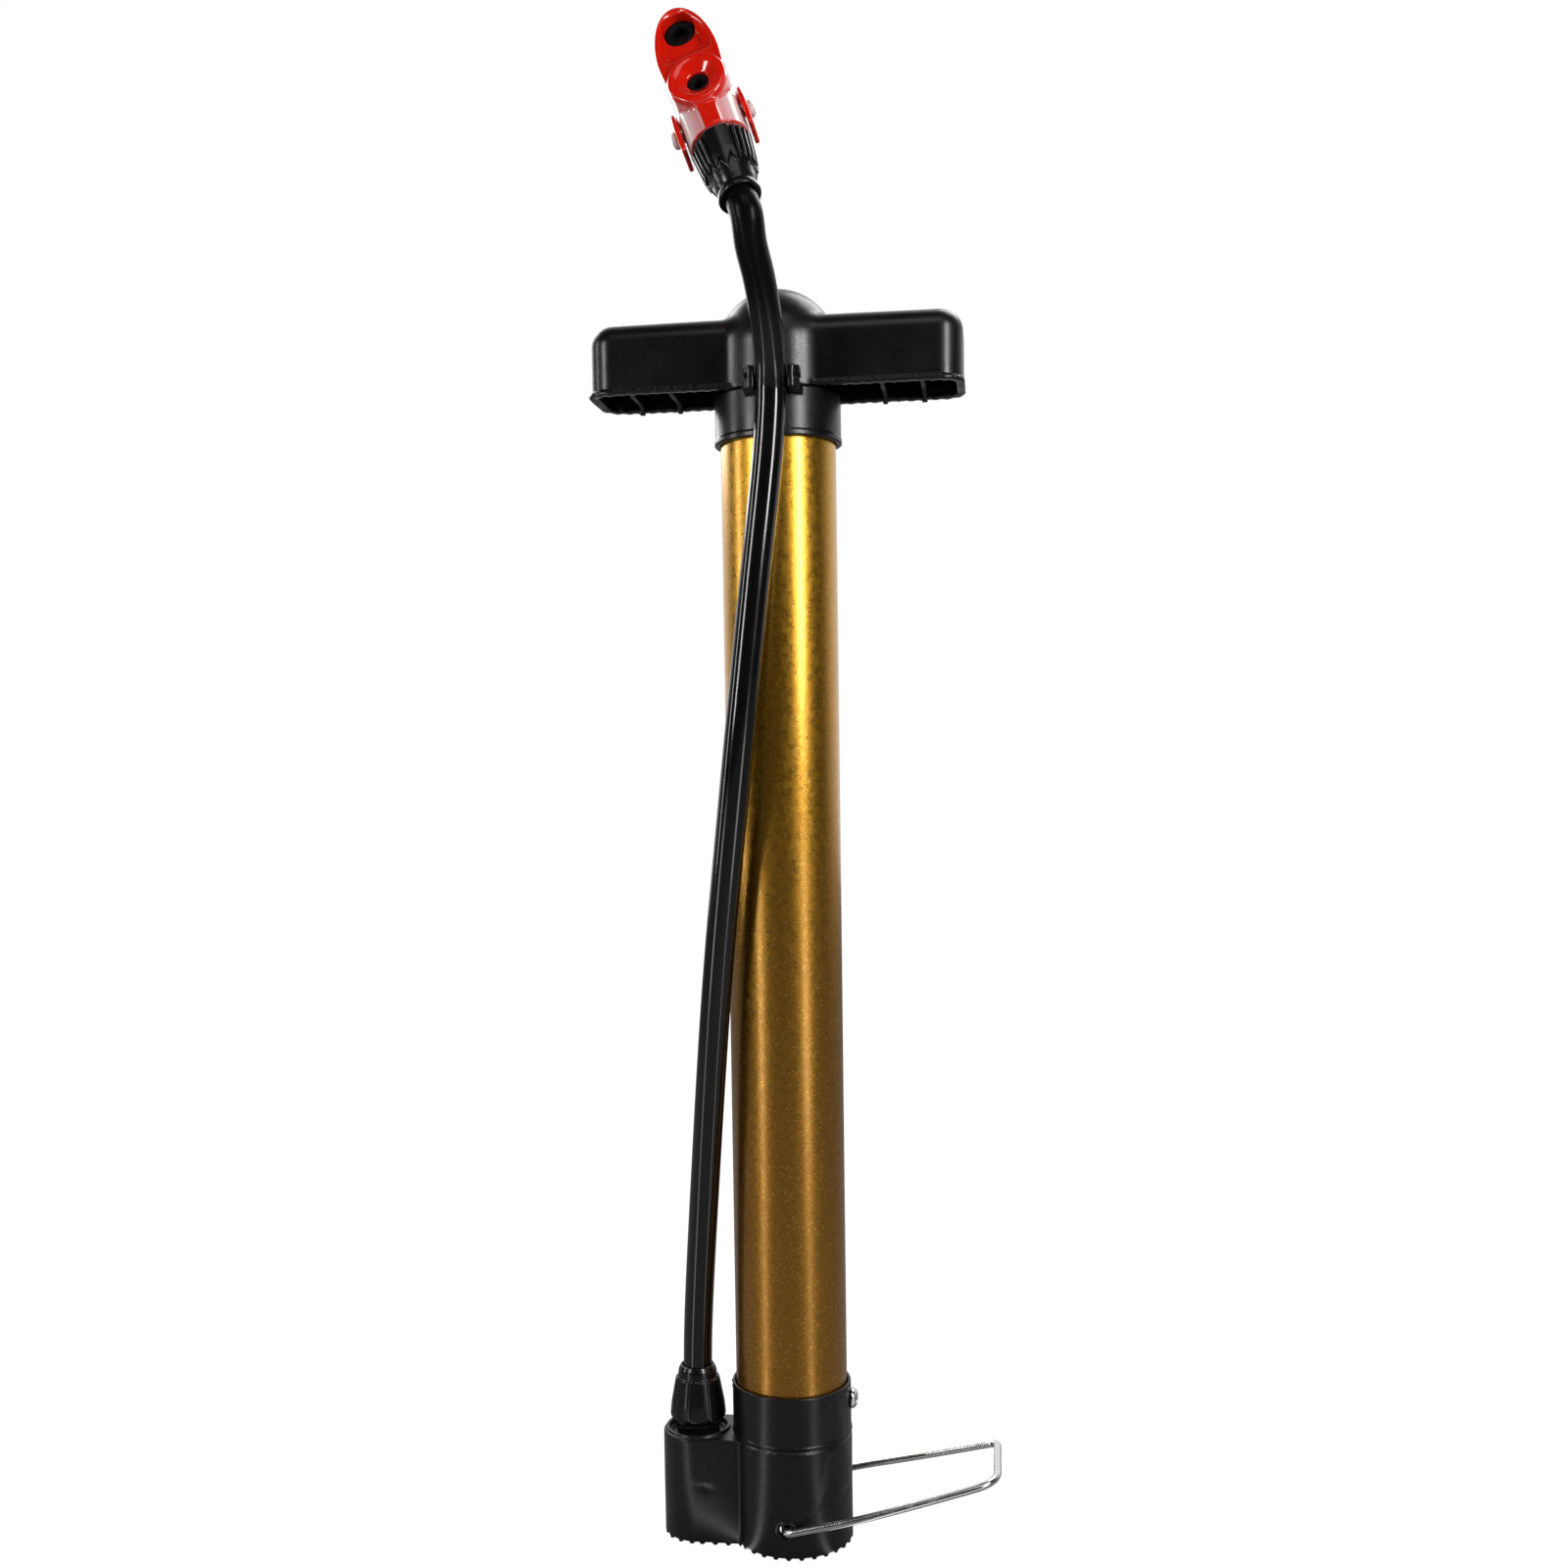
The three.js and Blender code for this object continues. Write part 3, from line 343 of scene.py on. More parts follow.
def lathe(profile, sides, shape=None):
    """Turns a profile of (radius, height) about Z. It starts and ends on the axis, or closes on itself."""
    profile = np.array(profile, float)
    on_axis = profile[0][0] < 1e-6
    rings = profile[1:-1] if on_axis else profile[:-1]
    angle = np.arange(sides) * 2 * np.pi / sides
    radius, around = np.meshgrid(rings[:, 0], angle, indexing="ij")
    height = np.repeat(rings[:, 1:2], sides, 1)
    if shape:
        radius = shape(radius, around, height)
    points = np.stack([radius * np.cos(around), radius * np.sin(around), height], -1).reshape(-1, 3)
    faces = bands(len(rings), sides, closed=not on_axis)
    if on_axis:
        points = np.vstack([points, [0, 0, profile[0][1]], [0, 0, profile[-1][1]]])
        low, high = len(points) - 2, len(points) - 1
        last = (len(rings) - 1) * sides
        for i in range(sides):
            j = (i + 1) % sides
            faces.append((low, j, i))
            faces.append((high, last + i, last + j))
    return points, faces


def sweep(path, radius, sides):
    """A round bar with flat ends along a path of points."""
    path = np.array(path, float)
    ahead = np.gradient(path, axis=0)
    ahead /= np.linalg.norm(ahead, axis=1)[:, None]
    across = np.cross(ahead[0], (0.3, 0.2, 0.9))
    across /= np.linalg.norm(across)
    angle = np.arange(sides) * 2 * np.pi / sides
    rings = []
    for place, forward in zip(path, ahead):
        across = across - forward * (across @ forward)
        across /= np.linalg.norm(across)
        other = np.cross(forward, across)
        offset = np.outer(np.cos(angle), across) + np.outer(np.sin(angle), other)
        rings.append(place + radius * offset)
    last = (len(path) - 1) * sides
    flat_ends = [tuple(range(sides - 1, -1, -1)), tuple(range(last, last + sides))]
    return np.array(rings).reshape(-1, 3), bands(len(path), sides, closed=False) + flat_ends


def turned_to(points, matrix, place=(0, 0, 0)):
    return np.array(points) @ np.array(matrix, float).T + np.array(place, float)


def turn(degrees, axis):
    return np.array(Matrix.Rotation(math.radians(degrees), 3, axis))


HEAD_TURN = turn(-HEAD_LEAN_SIDE, "Y") @ turn(-HEAD_LEAN_BACK, "X") @ turn(HEAD_TWIST, "Z")
PORT_TURN = turn(90, "X")


def on_head(points):
    return turned_to(points, HEAD_TURN, HEAD_PLACE)


# ---------------------------------------------------------------- pieces


def put_in_scene(name, data):
    made = bpy.data.objects.new(name, data)
    bpy.context.scene.collection.objects.link(made)
    return made


def add_mesh(name, shape, paint, body, replaces, sharp=None):
    """A piece that rides on a body, or one that rides on no body where body is None."""
    points, faces = shape
    mesh = bpy.data.meshes.new(name)
    mesh.from_pydata((np.array(points) * MM).tolist(), [], [tuple(map(int, f)) for f in faces])
    mesh.polygons.foreach_set("use_smooth", [True] * len(mesh.polygons))
    if sharp:
        mesh.set_sharp_from_angle(angle=math.radians(sharp))
    mesh.materials.append(paint)
    piece = put_in_scene(name, mesh)
    if replaces:
        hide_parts(*replaces)
    if body:
        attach(piece, body)
    return piece


# ---------------------------------------------------------------- paint


class Nodes:
    """Builds a node tree. An input is a number, a colour or another node's output."""

    def __init__(self, tree):
        self.tree = tree

    def node(self, kind, inputs=None, **settings):
        made = self.tree.nodes.new(kind)
        for key, value in settings.items():
            setattr(made, key, value)
        for key, value in (inputs or {}).items():
            self.feed(made.inputs[key], value)
        return made

    def feed(self, socket, value):
        if isinstance(value, bpy.types.NodeSocket):
            self.tree.links.new(value, socket)
        else:
            socket.default_value = value

    def spread(self, value, low, high, to_low=0.0, to_high=1.0):
        """An S-curve from to_low at low to to_high at high."""
        inputs = {"Value": value, "From Min": low, "From Max": high, "To Min": to_low, "To Max": to_high}
        return self.node("ShaderNodeMapRange", inputs, interpolation_type="SMOOTHSTEP").outputs["Result"]

    def maths(self, operation, a, b=0.0):
        return self.node("ShaderNodeMath", {0: a, 1: b}, operation=operation).outputs[0]

    def plus(self, a, b):
        return self.maths("ADD", a, b)

    def minus(self, a, b):
        return self.maths("SUBTRACT", a, b)

    def times(self, a, b):
        return self.maths("MULTIPLY", a, b)

    def mix(self, share, a, b):
        """A colour that goes from a to b."""
        a, b = ((*c, 1.0) if isinstance(c, tuple) else c for c in (a, b))
        inputs = {0: share, 6: a, 7: b}  # 6 and 7 are its colour inputs, and 2 its colour output
        return self.node("ShaderNodeMix", inputs, data_type="RGBA").outputs[2]


class Paint(Nodes):
    """A material built up from the piece's own coordinates, in metres."""

    def __init__(self, name):
        self.material = bpy.data.materials.new(name)
        self.material.use_nodes = True
        super().__init__(self.material.node_tree)
        self.surface = self.tree.nodes["Principled BSDF"]
        self.place = self.node("ShaderNodeTexCoord").outputs["Object"]

    def set(self, **inputs):
        for key, value in inputs.items():
            self.feed(self.surface.inputs[key.replace("_", " ")], value)

    def noise(self, size_mm, detail=3.0, stretch=(1, 1, 1), shift=0.0):
        place = {"Vector": self.place, "Scale": stretch, "Location": (shift, shift, shift)}
        moved = self.node("ShaderNodeMapping", place).outputs[0]
        inputs = {"Vector": moved, "Scale": 1000 / size_mm, "Detail": detail}
        return self.node("ShaderNodeTexNoise", inputs).outputs["Fac"]

    def flakes(self, size_mm):
        """A random colour for each flake, as its red, green and blue."""
        inputs = {"Vector": self.place, "Scale": 1000 / size_mm}
        colour = self.node("ShaderNodeTexVoronoi", inputs).outputs["Color"]
        return self.node("ShaderNodeSeparateColor", {"Color": colour}).outputs

    def axes(self):
        return self.node("ShaderNodeSeparateXYZ", {"Vector": self.place}).outputs

    def along(self, vector, direction):
        inputs = {0: vector, 1: tuple(direction)}
        return self.node("ShaderNodeVectorMath", inputs, operation="DOT_PRODUCT").outputs["Value"]

    def edges(self, low=0.52, high=0.6):
        """1 on convex edges, where a moulding wears."""
        return self.spread(self.node("ShaderNodeNewGeometry").outputs["Pointiness"], low, high)

    def bump(self, height, depth_mm, normal=None):
        inputs = {"Height": height, "Strength": 1.0, "Distance": depth_mm * MM}
        if normal:
            inputs["Normal"] = normal
        return self.node("ShaderNodeBump", inputs).outputs["Normal"]

    def relief(self, fine, coarse):
        """Two layers of bump, each as (height, depth in mm)."""
        self.set(Normal=self.bump(*coarse, self.bump(*fine)))


def moulded(name, dark, light, rough, grain=0.002, wear=0.12, gloss=0.5):
    """Moulded plastic or rubber: fine grain, slow flow marks, dusty scuffs and worn edges.

    The grain is its depth in mm, rough is the range of roughness, and wear is how strongly edges pale.
    """
    paint = Paint(name)
    blotch = paint.noise(11, 4)
    fine = paint.noise(0.35, 2)
    marks = paint.noise(1.6, 3, stretch=(1, 1, 0.12), shift=0.7)
    scuff = paint.spread(marks, 0.66, 0.76)
    colour = paint.mix(blotch, dark, light)
    dusty = tuple(min(1.0, c * 1.6 + 0.006) for c in light)
    colour = paint.mix(paint.times(scuff, 0.2), colour, dusty)
    bare = tuple(min(1.0, c * 1.5 + 0.018) for c in light)
    colour = paint.mix(paint.times(paint.edges(), wear), colour, bare)
    roughness = paint.spread(paint.plus(blotch, fine), 0.6, 1.4, *rough)
    roughness = paint.plus(roughness, paint.times(scuff, 0.12))
    paint.set(Base_Color=colour, Roughness=roughness, IOR=1.47, Specular_IOR_Level=gloss)
    paint.relief((fine, grain), (paint.noise(6, 2, shift=0.3), grain * 8))
    return paint


def hose_rubber():
    """Shiny extruded rubber, rubbed dull where it is handled, near the head."""
    paint = moulded("hose_rubber", (0.0025, 0.0025, 0.0028), (0.0045,) * 3, (0.1, 0.17), wear=0.0)
    shiny_below, dull_above = 362 * MM, 378 * MM
    handled = paint.spread(paint.axes()["Z"], shiny_below, dull_above)
    fresh = paint.minus(1.0, handled)
    roughness = paint.surface.inputs["Roughness"].links[0].from_socket
    paint.set(Roughness=paint.plus(roughness, paint.times(handled, 0.14)))
    paint.set(Specular_IOR_Level=paint.plus(paint.times(fresh, 0.4), 0.1))
    paint.set(Coat_Weight=paint.times(fresh, 0.28), Coat_Roughness=0.06)
    return paint.material


def gold_paint():
    """Metallic paint: fine bright flakes in a deep gold under a clear coat, with painted shade that makes
    it darker and redder towards the foot.
    """
    paint = Paint("gold_paint")
    flake, small = paint.flakes(0.24), paint.flakes(0.13)
    cloud = paint.noise(2.2, 3)
    # painted shade: the colour gets darker and redder towards the foot of the barrel
    up = paint.spread(paint.axes()["Z"], 100 * MM, 340 * MM)
    deep = paint.mix(up, (0.26, 0.1, 0.006), (0.37, 0.155, 0.008))
    base = paint.mix(up, (0.46, 0.21, 0.016), (0.66, 0.345, 0.024))
    shade = paint.plus(flake["Red"], small["Green"])
    colour = paint.mix(paint.spread(shade, -0.15, 1.55), deep, base)
    spark = paint.spread(flake["Blue"], 0.95, 1.0)
    colour = paint.mix(paint.times(spark, 0.8), colour, (1.0, 0.72, 0.25))
    roughness = paint.spread(cloud, 0.3, 0.7, 0.26, 0.34)
    paint.set(Base_Color=colour, Metallic=0.92, Roughness=roughness)
    paint.set(Coat_Weight=0.5, Coat_Roughness=0.2, Coat_IOR=1.5)
    paint.relief((small["Red"], 0.002), (flake["Green"], 0.003))
    paint.set(Coat_Normal=paint.bump(paint.noise(14, 2), 0.05))
    return paint.material


def trunk_mask(paint):
    """1 on the round trunk of the valve head, 0 on its face, its ports, its tip and the lever."""
    head = {0: paint.place, 1: tuple(c * MM for c in HEAD_PLACE)}
    from_head = paint.node("ShaderNodeVectorMath", head, operation="SUBTRACT").outputs[0]
    side, back, up = (paint.along(from_head, HEAD_TURN[:, i] / MM) for i in range(3))
    depth = paint.minus(0.0, back)
    side = paint.maths("ABSOLUTE", side)
    above = paint.minus(up, PRESTA_PLACE)
    from_port = paint.maths("POWER", paint.plus(paint.times(side, side), paint.times(above, above)), 0.5)
    mask = paint.spread(depth, HEAD_FACE - 0.9, HEAD_FACE, 1.0, 0.0)
    mask = paint.times(mask, paint.spread(side, HEAD_HALF_WIDTH + 0.15, LEVER_INNER - 0.05, 1.0, 0.0))
    mask = paint.times(mask, paint.spread(from_port, PRESTA_RING + 0.05, PRESTA_RING + 0.45))
    return paint.times(mask, paint.spread(up, PRESTA_PLACE + 0.8, TIP_START - 1.2, 1.0, 0.0))


def red_plastic():
    """Glossy moulded red, a little translucent, with painted sheen: on the round trunk, pale pink is mixed
    into the colour at grazing angles, standing in for reflections of white surroundings.
    """
    paint = Paint("red_plastic")
    blotch = paint.noise(5, 3)
    fine = paint.noise(0.5, 2)
    colour = paint.mix(blotch, (0.7, 0.008, 0.002), (0.82, 0.014, 0.003))
    colour = paint.mix(paint.times(paint.edges(0.53, 0.62), 0.5), colour, (0.9, 0.05, 0.02))
    # painted sheen: pale pink mixed into the trunk's colour at grazing angles, in place of reflected white
    # surroundings
    grazing = paint.node("ShaderNodeLayerWeight", {"Blend": 0.5}).outputs["Facing"]
    painted_sheen = paint.times(paint.spread(grazing, 0.12, 0.62), paint.times(trunk_mask(paint), 0.9))
    colour = paint.mix(painted_sheen, colour, (1.0, 0.86, 0.86))
    roughness = paint.spread(paint.plus(blotch, fine), 0.6, 1.4, 0.09, 0.2)
    paint.set(Base_Color=colour, Roughness=roughness, IOR=1.5)
    paint.set(Subsurface_Weight=0.15, Subsurface_Radius=(1.0, 0.1, 0.05), Subsurface_Scale=0.002)
    paint.set(Coat_Weight=0.6, Coat_Roughness=0.05)
    paint.relief((fine, 0.003), (paint.noise(7, 2, shift=0.4), 0.05))
    return paint.material


def metal(name, dark, light, rough, stretch, size, spots):
    """Plated, drawn or turned metal: streaks along the work, fine scratches and dull spots."""
    paint = Paint(name)
    streak = paint.noise(size, 4, stretch=stretch)
    fine = paint.noise(size / 5, 3, stretch=stretch, shift=0.2)
    stain = paint.spread(paint.noise(4, 4, shift=0.9), 0.52, 0.7)
    colour = paint.mix(streak, dark, light)
    colour = paint.mix(paint.times(stain, spots), colour, tuple(c * 0.45 for c in dark))
    roughness = paint.spread(paint.plus(streak, fine), 0.6, 1.4, *rough)
    roughness = paint.plus(roughness, paint.times(stain, 0.12))
    paint.set(Base_Color=colour, Metallic=1.0, Roughness=roughness)
    paint.relief((fine, 0.002), (streak, 0.003))
    return paint.material


BLACK = moulded("black_plastic", (0.003, 0.003, 0.0032), (0.0052,) * 3, (0.25, 0.35)).material
NUT_BLACK = moulded("nut_plastic", (0.004, 0.004, 0.0043), (0.006,) * 3, (0.18, 0.26), 0.0015).material
RUBBER_DARK, RUBBER_LIGHT = (0.002, 0.0022, 0.0022), (0.003, 0.0034, 0.0034)
RUBBER = moulded("black_rubber", RUBBER_DARK, RUBBER_LIGHT, (0.6, 0.75), 0.01, 0.0, gloss=0.15).material
HOSE = hose_rubber()
# painted highlight: the rivet heads' pale pink colour stands in for the highlight on them
PALE_PAINTED_HIGHLIGHT = moulded("pale_plastic", (0.72, 0.52, 0.53), (0.82, 0.7, 0.7), (0.25, 0.4), 0.006, wear=0.0).material
GOLD = gold_paint()
RED = red_plastic()
CHROME = metal("chrome", (0.66, 0.66, 0.68), (0.84, 0.84, 0.86), (0.16, 0.28), (0.2, 1, 1), 0.8, 0.05)
STEEL = metal("steel", (0.42, 0.42, 0.44), (0.6, 0.6, 0.62), (0.22, 0.36), (1, 1, 0.1), 0.8, 0.25)
BRASS = metal("brass", (0.55, 0.36, 0.13), (0.72, 0.52, 0.22), (0.22, 0.38), (1, 1, 6), 0.9, 0.3)


# ---------------------------------------------------------------- base


def base_outline(x, y, inset=0.0):
    """The plan of the base: the round tower and the boss beside it, each moved in by inset."""
    tower = np.hypot(x, y) - BASE_RADIUS + inset
    slope = (BOSS_RADIUS - BOSS_WAIST) / BOSS_OFFSET
    flank = np.maximum(np.abs(y) - BOSS_WAIST + slope * x, x - BOSS_OFFSET / 2)
    end = np.hypot(x + BOSS_OFFSET, y) - BOSS_RADIUS
    boss = np.where(x < -BOSS_OFFSET, end, flank) + inset
    return tower, boss


def teeth(x, y, z, outer):
    """Small rounded feet under the rim, all round the outline."""
    pitch = TOOTH_PITCH
    junction = -math.sqrt(BASE_RADIUS**2 - BOSS_RADIUS**2)
    tower = np.arctan2(y, x) * BASE_RADIUS / pitch
    end = np.arctan2(y, -x - BOSS_OFFSET) * BOSS_RADIUS / pitch
    flank = (x + BOSS_OFFSET) / pitch - 0.6
    along = np.where(x > junction, tower, np.where(x < -BOSS_OFFSET, end, flank))
    offset = np.abs(along - np.round(along)) * pitch
    width = 0.62 + 0.28 * np.clip(z, 0, 1.3)
    side = meet(offset - width, between(-outer, 0, 2.1), 0.3)
    return meet(side, between(z, 0, 1.6), 0.3)


def sink_marks(x, y, z):
    """How far the walls are dented: two dents, with a low swelling beside one of them."""
    front = y < 0
    dent = 0.32 * bell(x + 26.3, 2.4) * bell(z - 18.4 + 0.12 * (x + 26), 1.3) * front
    swelling = 0.12 * bell(x + 28.5, 2.2) * bell(z - 20.5, 1.5) * front
    return dent - swelling + 0.35 * bell(y + 6, 3.5) * bell(z - 18, 1.8) * (x > 0)


def add_collar(body, radius, x, y, z):
    """The collar round the barrel, with a bead and a groove at its foot and a slightly uneven rim."""
    rim = COLLAR_TOP + 0.18 * wobble(x, y, 0, 21, 5) - 0.2
    collar = meet(radius - COLLAR_RADIUS, between(z, BASE_LEDGE - 4, rim), 0.28)
    body = join(body, collar, 0.35)
    bead = np.hypot(radius - COLLAR_RADIUS, z - BASE_LEDGE - 1.5) - 0.32
    body = join(body, bead, 0.15)
    groove = np.hypot(radius - COLLAR_RADIUS - 0.1, (z - BASE_LEDGE - 0.55) * 0.9) - 0.5
    return cut(body, groove, 0.12)


def add_nut_seat(body, radius, x, y, z):
    """A raised rim and a shallow seat on the boss, for the hose nut."""
    across = np.hypot(x + BOSS_OFFSET, y)
    seat_rim = meet(across - SEAT_RIM_OUTER, between(z, BASE_LEDGE - 1, BASE_LEDGE + 0.9), 0.3)
    body = join(body, seat_rim, 0.3)
    seat = np.maximum(across - SEAT_RIM_INNER, between(z, BASE_LEDGE - 1.3, BASE_LEDGE + 9))
    return cut(body, np.maximum(seat, COLLAR_RADIUS - 0.2 - radius), 0.25)


def hollow_out(body, radius, x, y, z):
    """The cavity under the base, with its post and web, and the socket that holds the barrel."""
    inner_tower, inner_boss = base_outline(x, y, BASE_WALL)
    cavity = np.maximum(join(inner_tower, inner_boss, 0.5), between(z, -5, CAVITY_TOP))
    body = cut(body, cavity, 0.4)
    post = meet(radius - POST_RADIUS, between(z, 0, CAVITY_TOP + 1), 0.3)
    web = np.maximum(np.abs(y) - WEB_HALF_WIDTH, between(z, 4, CAVITY_TOP + 1))
    web = np.maximum(web, np.abs(x) - BASE_RADIUS + 1)
    body = join(body, join(post, web, 0.8), 0.5)
    socket = np.maximum(radius - COLLAR_BORE, SOCKET_FLOOR - z)
    return cut(body, socket, 0.25)


def add_holes(body, tower, x, y, z):
    """The two wire holes, each with a raised lip, and the hole of the collar screw."""
    across = np.hypot(x, z - WIRE_HINGE_HEIGHT)
    body = cut(body, np.maximum(across - WIRE_HOLE, 8 - np.abs(y)), 0.35)
    lip = np.hypot(across - WIRE_HOLE - 0.55, tower) - 0.42
    body = join(body, np.maximum(lip, 10 - np.abs(y)), 0.3)
    screw = np.maximum(np.hypot(y, z - SCREW_HEIGHT) - SCREW_HOLE, 15 - x)
    return cut(body, screw, 0.2)


def base_field(x, y, z):
    radius = np.hypot(x, y)
    tower, boss = base_outline(x, y)
    outer = join(tower, boss, 0.45) + sink_marks(x, y, z) + 0.03 * wobble(x, y, z, 26, 3)
    body = meet(outer, between(z, TOOTH_HEIGHT, BASE_LEDGE), 0.7)
    body = add_collar(body, radius, x, y, z)
    body = add_nut_seat(body, radius, x, y, z)
    body = join(body, teeth(x, y, z, outer), 0.2)
    body = hollow_out(body, radius, x, y, z)
    body = add_holes(body, tower, x, y, z)
    # a bit of moulding flash on the rim of the collar, and a speck below it
    flash = np.hypot(np.hypot(x + 18.2, y + 3.2), (z - 50.7) * 0.8) - 0.55
    speck = np.hypot(np.hypot(x + 18.5, y + 2.2), z - 48.6) - 0.42
    return join(body, np.minimum(flash, speck), 0.12)


def add_base():
    lower = (2.1, 0.3), (6.3, 0.84), (12.6, 0.42), (15.6, 0.6), (21.6, 0.75)
    upper = (32.1, 1.05), (36.6, 0.3), (46.9, 1.03), (52.3, 0.3)
    heights = spaced(-0.45, *lower, *upper)
    shape = skin(base_field, spaced(-42.3, (20, 0.47)), spaced(-20, (20, 0.47)), heights)
    add_mesh("base_moulding", shape, BLACK, "pump_body", ["base"])


def screw_field(x, y, z):
    """A cross-head screw along Z, with the underside of its head at 0."""
    radius = np.hypot(x, y)
    crown = np.hypot(radius, z + 2.4) - 4.68
    head = meet(meet(radius - SCREW_HEAD, -z, 0.3), crown, 0.5)
    taper = np.clip((2.6 - z) / 2.6, 0, 1)
    arm = np.minimum(np.abs(x), np.abs(y)) - 0.5 + 0.25 * taper
    cross = meet(arm, radius - 2.3 + 1.2 * taper, 0.1)
    head = cut(head, np.maximum(cross, 0.7 - z), 0.1)
    shank = np.maximum(radius - SCREW_SHANK, between(z, -2.4, 0.4))
    return join(head, shank, 0.1)


def add_screw():
    across = spaced(-3.6, (3.6, 0.14))
    points, faces = skin(screw_field, across, across, spaced(-2.8, (2.7, 0.14)))
    upright = turn(18, "X") @ turn(90, "Y")
    points = turned_to(points, upright, (COLLAR_RADIUS + 0.1, 0, SCREW_HEIGHT))
    add_mesh("collar_screw_cross", (points, faces), CHROME, "pump_body", ["collar_screw"])


def wire_leg(bend):
    """One leg, from its pin to the middle of the cross bar, as (along, sideways) places."""
    slope = (WIRE_HALF_WIDTH - WIRE_TIP_HALF_WIDTH) / (WIRE_LENGTH - WIRE_KNEE)
    pin_bend, knee_bend = 2.6, 5
    half = np.array([
        (0, WIRE_END), (0, WIRE_HALF_WIDTH - pin_bend), (0, WIRE_HALF_WIDTH), (pin_bend, WIRE_HALF_WIDTH),
        (WIRE_KNEE - knee_bend, WIRE_HALF_WIDTH), (WIRE_KNEE, WIRE_HALF_WIDTH),
        (WIRE_KNEE + knee_bend, WIRE_HALF_WIDTH - knee_bend * slope),
        (WIRE_LENGTH - bend, WIRE_TIP_HALF_WIDTH + slope * bend), (WIRE_LENGTH, WIRE_TIP_HALF_WIDTH),
        (WIRE_LENGTH, WIRE_TIP_HALF_WIDTH - bend),
    ])
    path = []
    for first in (0, 3, 6):
        straight, start, corner, end = half[first : first + 4]
        path.extend(straight + (start - straight) * t for t in np.linspace(0, 1, 12)[:-1])
        path.extend(rounded(start, corner, end, t) for t in np.linspace(0, 1, 14)[:-1])
    return np.array([*path, half[-1]])


def wire_path():
    """Both legs and the cross bar in one plane, hinge line at x = 0; the near corner is rounder."""
    legs = []
    for side, bend in ((-1, WIRE_NEAR_BEND), (1, WIRE_FAR_BEND)):
        path = wire_leg(bend)
        bow = -0.35 * np.sin(path[:, 0] / WIRE_LENGTH * np.pi)
        legs.append(np.c_[path[:, 0], side * path[:, 1], bow])
    return np.vstack([legs[0], legs[1][::-1]])


def add_wire():
    points, faces = sweep(wire_path(), WIRE_RADIUS, 20)
    points = turned_to(points, turn(-WIRE_REST_ANGLE, "Y"), (0, 0, WIRE_HINGE_HEIGHT))
    add_mesh("foot_rest_wire", (points, faces), CHROME, "foot_rest", ["foot_wire"], 50)


# ---------------------------------------------------------------- barrel, rod and cap


def add_barrel():
    outer = [(BARREL_RADIUS, BARREL_BOTTOM), (BARREL_RADIUS, BARREL_TOP)]
    wall = [(BARREL_BORE, BARREL_BOTTOM), *outer, (BARREL_BORE, BARREL_TOP), (BARREL_BORE, BARREL_BOTTOM)]
    profile = refined(softened(wall, 0.4), 12)
    add_mesh("barrel_tube", lathe(profile, 160), GOLD, "pump_body", ["barrel"], 40)


def add_rod():
    bar = [
        (0, ROD_BOTTOM), (ROD_RADIUS - 0.6, ROD_BOTTOM), (ROD_RADIUS, ROD_BOTTOM + 0.7),
        (ROD_RADIUS, ROD_COLLAR), (ROD_RADIUS + 1.5, ROD_COLLAR), (ROD_RADIUS + 1.5, ROD_COLLAR + 3),
        (ROD_RADIUS, ROD_COLLAR + 4), (ROD_RADIUS, ROD_TOP - 0.7), (ROD_RADIUS - 0.6, ROD_TOP),
        (0, ROD_TOP),
    ]
    profile = refined(softened(bar, 0.3), 20)
    add_mesh("piston_rod_bar", lathe(profile, 48), STEEL, "handle_and_rod", ["piston_rod"], 40)


def claw_field(x, y, z):
    """One side of the hose clip: a block with a step, a slot and a small hook."""
    side = np.abs(x)
    block = np.maximum(between(side, CLIP_INNER, CLIP_OUTER), between(z, CLIP_BOTTOM, CLIP_TOP))
    block = meet(block, between(y, -CLIP_REACH, -16), 0.35)
    nose = (side - CLIP_OUTER) * 0.7 + (-y - CLIP_REACH) * 0.7 + 1.3
    block = meet(block, nose, 0.3)
    notch = np.maximum(between(z, *CLIP_NOTCH), CLIP_OUTER - 1.5 - side)
    block = cut(block, notch, 0.2)
    step = np.maximum(CLIP_TOP - 1.6 - z, -y - CLIP_REACH + 2.6)
    return cut(block, np.maximum(step, side - CLIP_OUTER + 1.6), 0.3)


def cap_field(x, y, z):
    radius = np.hypot(x, y)
    shell = meet(radius - CAP_RADIUS, between(z, CAP_BOTTOM, CAP_TOP), 0.5)
    lip = meet(radius - CAP_RADIUS - 0.25, between(z, CAP_BOTTOM, CAP_BOTTOM + 1.7), 0.25)
    shell = join(shell, lip, 0.25)
    room = np.maximum(radius - DOME_RADIUS - 1.3, CAP_TOP - z)
    shell = join(shell, cut(claw_field(x, y, z), room, 0.3), 0.4)
    bore = np.maximum(radius - BARREL_RADIUS - 0.3, z - BARREL_TOP - 0.3)
    return cut(cut(shell, bore, 0.2), radius - CAP_HOLE, 0.3)


def add_cap():
    heights = spaced(340.9, (344, 0.3), (352.4, 0.84), (359.9, 0.36))
    points, faces = skin(cap_field, spaced(-19.9, (19.9, 0.45)), spaced(-28.1, (19.9, 0.45)), heights)
    points = turned_to(points, turn(CLIP_TURN, "Z"))
    add_mesh("barrel_cap_clip", (points, faces), BLACK, "pump_body", ["barrel_cap"])


# ---------------------------------------------------------------- handle


